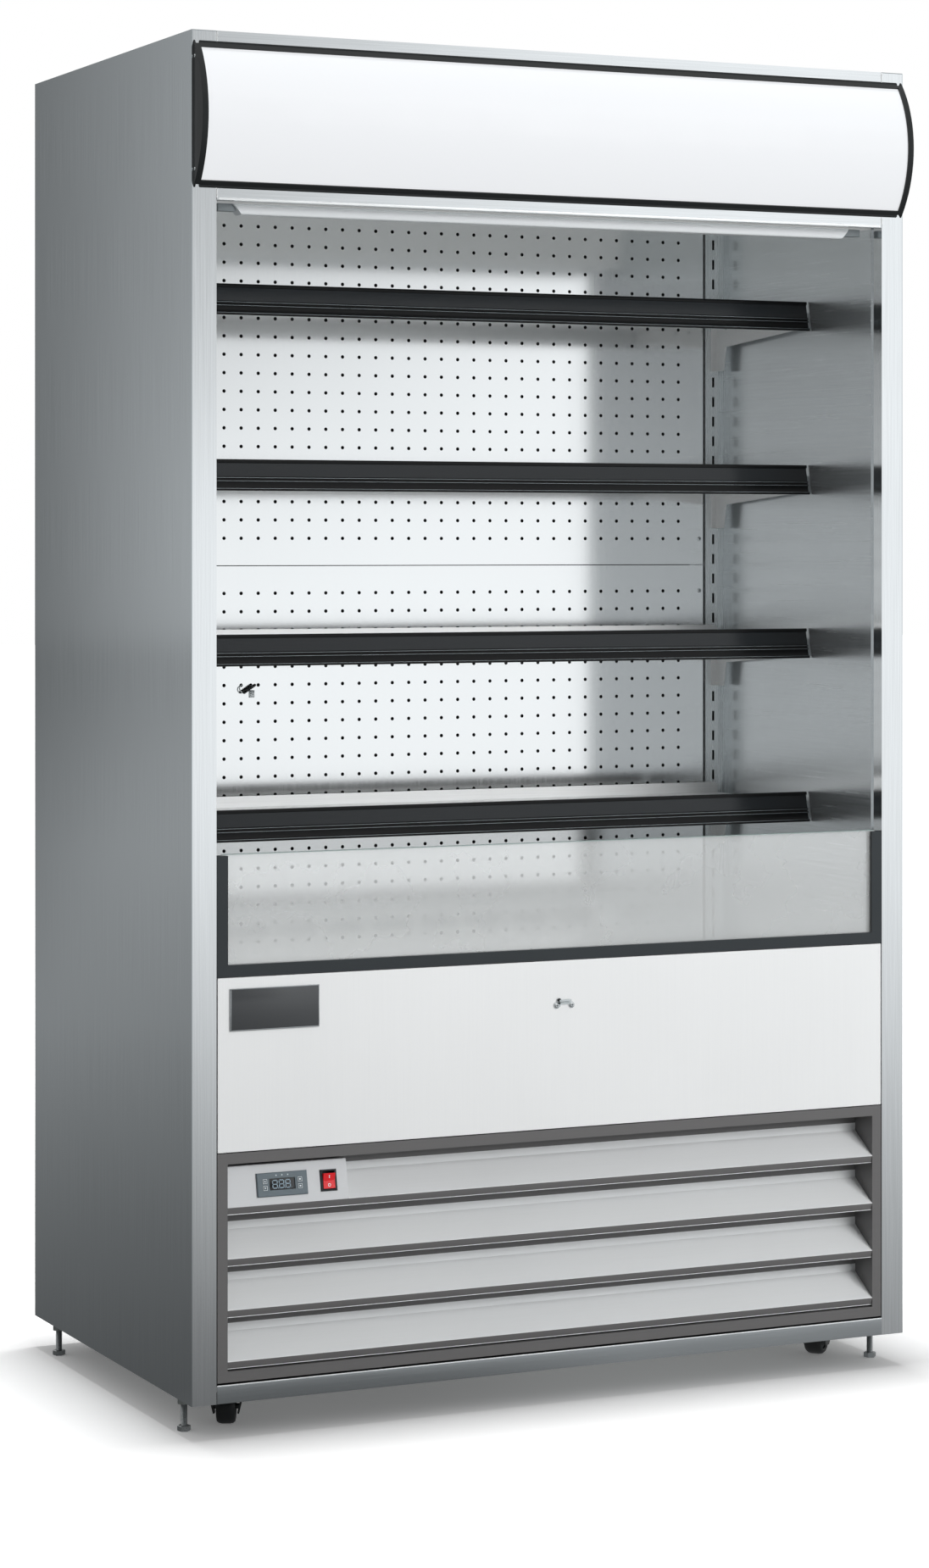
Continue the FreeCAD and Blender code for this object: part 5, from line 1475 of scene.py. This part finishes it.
@dataclass
class Controls(SubAssembly):
    """Temperature controller and the power switch on the leaning panel.

    Shapes are drawn round the middle of the controller or switch, with their face towards the front.
    """

    lean: float = 12.0
    rise: float = 57.0
    foot: float = 327.0
    middle_up: float = 28.0
    proud: float = 0.5
    controller: float = 140.0
    switch: float = 212.5
    digits: tuple[float, ...] = (-11.0, -1.0, 9.0)
    digit_height: float = 11.0
    digit_width: float = 7.0
    digit_behind: Pair = (-1.85, -1.7)
    stroke: float = 1.3
    lamps: tuple[float, ...] = (-9.0, 0.0, 9.0)
    keys: dict[str, Pair] = field(
        default_factory=lambda: {"up": (-27.0, 4.8), "down": (-27.0, -4.8), "lamp": (27.0, 4.8), "set": (27.0, -4.8)}
    )
    key_half: float = 3.2
    key_line: float = 0.5
    key_behind: Pair = (-3.96, -3.86)
    sign_behind: Pair = (-3.98, -3.88)
    mark_up: float = 6.0
    mark_half: float = 2.2
    mark_behind: Pair = (-0.12, 0.1)
    ring_radii: Pair = (1.4, 2.3)
    ring_steps: int = 20
    tilt: float = 9.0
    pivot_behind: float = 2.0
    rocker_middle: float = 3.0
    rocker_rise: float = 1.74
    rocker_half: float = 11.0

    def placed(self, shape: Shape, side: float, name: str, finish: Material, body: str = "cabinet") -> None:
        """Leans a shape and puts it on the panel.

        Args:
            shape: The shape.
            side: Where its middle lies from the cabinet's left side.
            name: The piece's name.
            finish: Its material.
            body: The body that carries it.
        """
        tilt = math.atan2(self.lean, self.rise)
        turn = Matrix.Rotation(-tilt, 4, "X")
        shift = Matrix.Translation((0, 0, self.middle_up / math.cos(tilt)))
        lift = Matrix.Translation((side, self.proud, self.foot))
        for vertex in shape.mesh.verts:
            vertex.co = lift @ turn @ shift @ vertex.co
        shape.piece(name, finish, body=body)

    def digit(self, shape: Shape, side: float) -> None:
        """Adds the seven strokes and the point of an unlit digit.

        Args:
            shape: The shape that gets them.
            side: Middle of the digit.
        """
        w, h, s = self.digit_width / 2, self.digit_height / 2, self.stroke / 2
        y0, y1 = self.digit_behind
        for up in (-h, 0.0, h):
            shape.block((side - w + s, y0, up - s), (side + w - s, y1, up + s))
        for x in (-w, w):
            for low, high in ((-h + s, -s), (s, h - s)):
                shape.block((side + x - s, y0, low), (side + x + s, y1, high))
        shape.block((side + 4.7, y0, -6.2), (side + 5.7, y1, -5.2))

    def sign(self, key: str, side: float, up: float) -> Shape:
        """Printed ring of a key, with the sign inside it.

        Args:
            key: The key.
            side: The key's middle.
            up: How far that is over the controller's middle.

        Returns:
            The shape.
        """
        half, (y0, y1), (front, rear) = self.key_half, self.key_behind, self.sign_behind
        shape = Shape().framed((side - half, y0, up - half), (side + half, y1, up + half), self.key_line)
        if key == "up":
            return shape.extruded([(side - 1.3, up - 1.0), (side + 1.3, up - 1.0), (side, up + 1.3)], front, rear, 1)
        if key == "down":
            return shape.extruded([(side - 1.3, up + 1.0), (side, up - 1.3), (side + 1.3, up + 1.0)], front, rear, 1)
        if key == "lamp":
            return shape.turned([(0, 1.3), (0.1, 1.3)], (side, front, up), (0, 1, 0), 16)
        return shape.block((side - 1.2, front, up - 1.0), (side + 1.2, rear, up + 1.0))

    def rocker_marks(self) -> None:
        """Bar and ring on the two slopes of the rocker."""
        y0, y1 = self.mark_behind
        bar = Shape().block((-0.6, y0, self.mark_up - self.mark_half), (0.6, y1, self.mark_up + self.mark_half))
        ring, (inner, outer) = Shape(), self.ring_radii
        for k in range(self.ring_steps):
            a, b = math.tau * k / self.ring_steps, math.tau * (k + 1) / self.ring_steps
            corners = ((inner, a), (outer, a), (outer, b), (inner, b))
            ring.extruded([(r * math.cos(t), r * math.sin(t) - self.mark_up) for r, t in corners], y0, y1, 1)
        pivot = Matrix.Translation((0, self.pivot_behind, 0))
        turn = pivot @ Matrix.Rotation(math.radians(self.tilt), 4, "X") @ pivot.inverted()
        for name, shape in (("rocker_mark_on", bar), ("rocker_mark_off", ring)):
            for vertex in shape.mesh.verts:
                vertex.co.y += -self.rocker_middle - self.rocker_rise * abs(vertex.co.z) / self.rocker_half
                vertex.co = turn @ vertex.co
            self.placed(shape, self.switch, name, self.look.mark, "rocker")

    def build(self) -> None:
        """Dresses the controls and adds window, digits, lamps and marks."""
        look = self.look
        dress(look.bezel, "controller")
        dress(look.key, "button_up", "button_down", "button_lamp", "button_set")
        dress(look.switch, "rocker_housing")
        dress(look.rocker, "power_rocker")
        window = Shape().block((-19.8, -1.84, -8.3), (19.8, -1.4, 8.3), 0.2)
        self.placed(window, self.controller, "display_window", look.window)
        digits, lamps = Shape(), Shape()
        for side in self.digits:
            self.digit(digits, side)
        self.placed(digits, self.controller, "display_digits", look.segment)
        for side in self.lamps:
            lamps.block((side - 0.8, -3.2, 11.8), (side + 0.8, -2.9, 13.4), 0.2)
        self.placed(lamps, self.controller, "display_lamps", look.mark)
        for key, place in self.keys.items():
            self.placed(self.sign(key, *place), self.controller, f"sign_{key}", look.mark, f"{key}_button")
        self.rocker_marks()


@dataclass
class RunningGear(SubAssembly):
    """Casters and levelling feet. A wheel's profiles are given as distance along its axle and radius."""

    turns: dict[str, float] = field(
        default_factory=lambda: {"front_left": 155.0, "front_right": -49.0, "rear_left": 0.0, "rear_right": 0.0}
    )
    swivels: tuple[str, ...] = ("front_left", "front_right")
    tread: tuple[Pair, ...] = (
        (-10.0, 15.5), (-12.6, 16.4), (-14.0, 18.6), (-13.4, 21.6), (-10.6, 24.0), (-6.0, 25.0), (6.0, 25.0),
        (10.6, 24.0), (13.4, 21.6), (14.0, 18.6), (12.6, 16.4), (10.0, 15.5),
    )
    hub: tuple[Pair, ...] = (
        (-12.0, 0.0), (-12.0, 6.0), (-11.2, 7.0), (-9.6, 8.2), (-10.4, 15.2), (10.4, 15.2), (9.6, 8.2),
        (11.2, 7.0), (12.0, 6.0), (12.0, 0.0),
    )
    thread: float = 5.0
    pitch: float = 1.5
    groove: float = 0.7
    head: float = 17.0
    head_height: float = 8.0
    chamfer: float = 1.2

    def wheel(self, corner: str) -> None:
        """Draws the wheel at one corner.

        Args:
            corner: Where it is.
        """
        node, body = f"caster_wheel_{corner}", f"wheel_{corner}"
        low, high = extent(node)
        turn = math.radians(self.turns[corner])
        middle, axis = (low + high) / 2, (math.cos(turn), math.sin(turn), 0.0)
        Shape().turned(self.tread, middle, axis, 48).piece(f"tyre_{corner}", self.look.tyre, node, body=body)
        Shape().turned(self.hub, middle, axis, 32).piece(f"hub_{corner}", self.look.hub, node, body=body)

    def foot(self, corner: str) -> None:
        """Draws the levelling foot at one corner: a hex head on a threaded rod.

        Args:
            corner: Where it is.
        """
        node, upward = f"levelling_foot_{corner}", (0, 0, 1)
        low, high = extent(node)
        middle, length = (low + high) / 2, high.z - low.z
        middle.z = low.z
        reach, top, c = self.head / math.sqrt(3), self.head_height, self.chamfer
        head = [(0, reach - c), (c * 0.6, reach), (top - c * 0.6, reach), (top, reach - c)]
        root = self.thread - self.groove
        profile, up = [(top - 0.5, root)], top
        while up < length - self.pitch:
            profile += [(up, root), (up + self.pitch / 2, self.thread)]
            up += self.pitch
        profile.append((length, self.thread - 1.0))
        foot = Shape().turned(head, middle, upward, 6).turned(profile, middle, upward, 20)
        foot.piece(f"foot_{corner}_bolt", self.look.foot, node, body=f"foot_{corner}")

    def build(self) -> None:
        """Dresses the forks, and draws the wheels and feet."""
        for corner in self.turns:
            self.foot(corner)
            self.wheel(corner)
        for corner in self.swivels:
            dress(self.look.fork, f"caster_fork_{corner}")


@dataclass
class NightCurtain(SubAssembly):
    """Blind that pulls down over the opening: cloth off the roller's front, hemmed round the pull bar."""

    side: float = 47.0
    behind: float = 19.0
    roller_up: float = 1800.0
    bar_up: float = 1778.0
    rows: int = 6

    def build(self) -> None:
        """Dresses the roller and the pull bar, and hangs the cloth between them."""
        dress(self.look.cloth, "curtain_roller")
        dress(self.look.trim, "curtain_pull_bar")
        left, right = both(self.side)
        drop = self.bar_up - self.roller_up
        shape = Shape()
        ups = [self.roller_up + drop * row / self.rows for row in range(self.rows + 1)]
        rings = [shape.ring((x, self.behind, up) for x in (left, right)) for up in ups]
        for above, below in zip(rings, rings[1:]):
            shape.mesh.faces.new((above[0], below[0], below[1], above[1]))
        cloth = shape.object("curtain_cloth", self.look.cloth)
        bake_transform(cloth)


@dataclass
class Machinery(SubAssembly):
    """Cooling machinery behind the louvre and under the deck."""

    def build(self) -> None:
        """Dresses the machinery."""
        dress(self.look.fin, "condenser_unit", "evaporator_unit")
        dress(self.look.machine, "compressor_bay")
        dress(self.look.fan, "condenser_fan", "evaporator_fan_left", "evaporator_fan_right")


@dataclass
class AirSensor(SubAssembly):
    """Air probe on the lower back panel: a ribbed bar held aslant by a clear bracket, with its lead."""

    face: float = 500.0
    low_end: Pair = (273.6, 1037.9)
    high_end: Pair = (294.6, 1051.4)
    screw: Pair = (291.0, 1035.1)
    hole: Pair = (275.8, 1050.5)
    loop: Pair = (268.6, 1044.5)
    bar: float = 2.5
    tip: float = 1.2
    tip_length: float = 1.5
    groove: float = 0.7
    stand: float = 8.0
    ribs: int = 7
    lead_radius: float = 0.9
    lead_steps: int = 12

    def build(self) -> None:
        """Draws the probe, its bracket, screw and lead."""
        look, y = self.look, self.face - self.stand
        start, end = (Vector((side, y, up)) for side, up in (self.low_end, self.high_end))
        run = end - start
        length, groove = run.length, self.bar - self.groove
        profile, step = [(0.0, self.tip), (self.tip_length, self.bar)], (length - 2 * self.tip_length) / self.ribs
        for along in (self.tip_length + rib * step for rib in range(self.ribs)):
            profile += [(along + step * 0.55, self.bar), (along + step * 0.65, groove)]
            profile += [(along + step * 0.9, groove), (along + step, self.bar)]
        profile.append((length, self.tip))
        Shape().turned(profile, start, run, 20).piece("air_probe", look.clip, "sensor_clip")
        x, z = self.screw
        tab = Shape().block((x - 4.5, self.face - 1.2, z - 4.5), (x + 4.5, self.face, z + 7.0), 0.4)
        tab.block((x - 3.0, y - 1.0, z + 5.5), (x + 1.5, self.face - 0.5, z + 7.0), 0.3)
        tab.piece("probe_bracket", look.bracket, "sensor_clip")
        ScrewRow("probe_screw", [(x, self.face - 1.1, z)], (0, -1, 0), 3.3, 1.8).build(look)
        middle = Vector((self.loop[0], self.face - 3.5, self.loop[1]))
        hole = Vector((self.hole[0], self.face + 1.0, self.hole[1]))
        high, low = middle + Vector((0, 0, 5)), middle - run.normalized() * 3.0
        path = []
        for t in (k / self.lead_steps for k in range(self.lead_steps + 1)):
            bend = hole * (1 - t) ** 3 + high * 3 * t * (1 - t) ** 2
            path.append(bend + low * 3 * t * t * (1 - t) + start * t**3)
        Shape().tube(path, self.lead_radius).piece("probe_lead", look.wire)


def main() -> None:
    """Builds the studio and dresses the cabinet, piece by piece."""
    logging.basicConfig(level=logging.INFO, format="%(message)s")
    bpy.context.scene.view_settings.view_transform = "Standard"
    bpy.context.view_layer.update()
    Studio().build()
    look = Finishes()
    for part in (
        Carcass, Canopy, AirOutlet, BackWall, Shelves, GlassRiser, FrontPanel, Louvre, Controls, RunningGear,
        NightCurtain, Machinery, AirSensor,
    ):
        part(look).build()


if __name__ == "__main__":
    main()
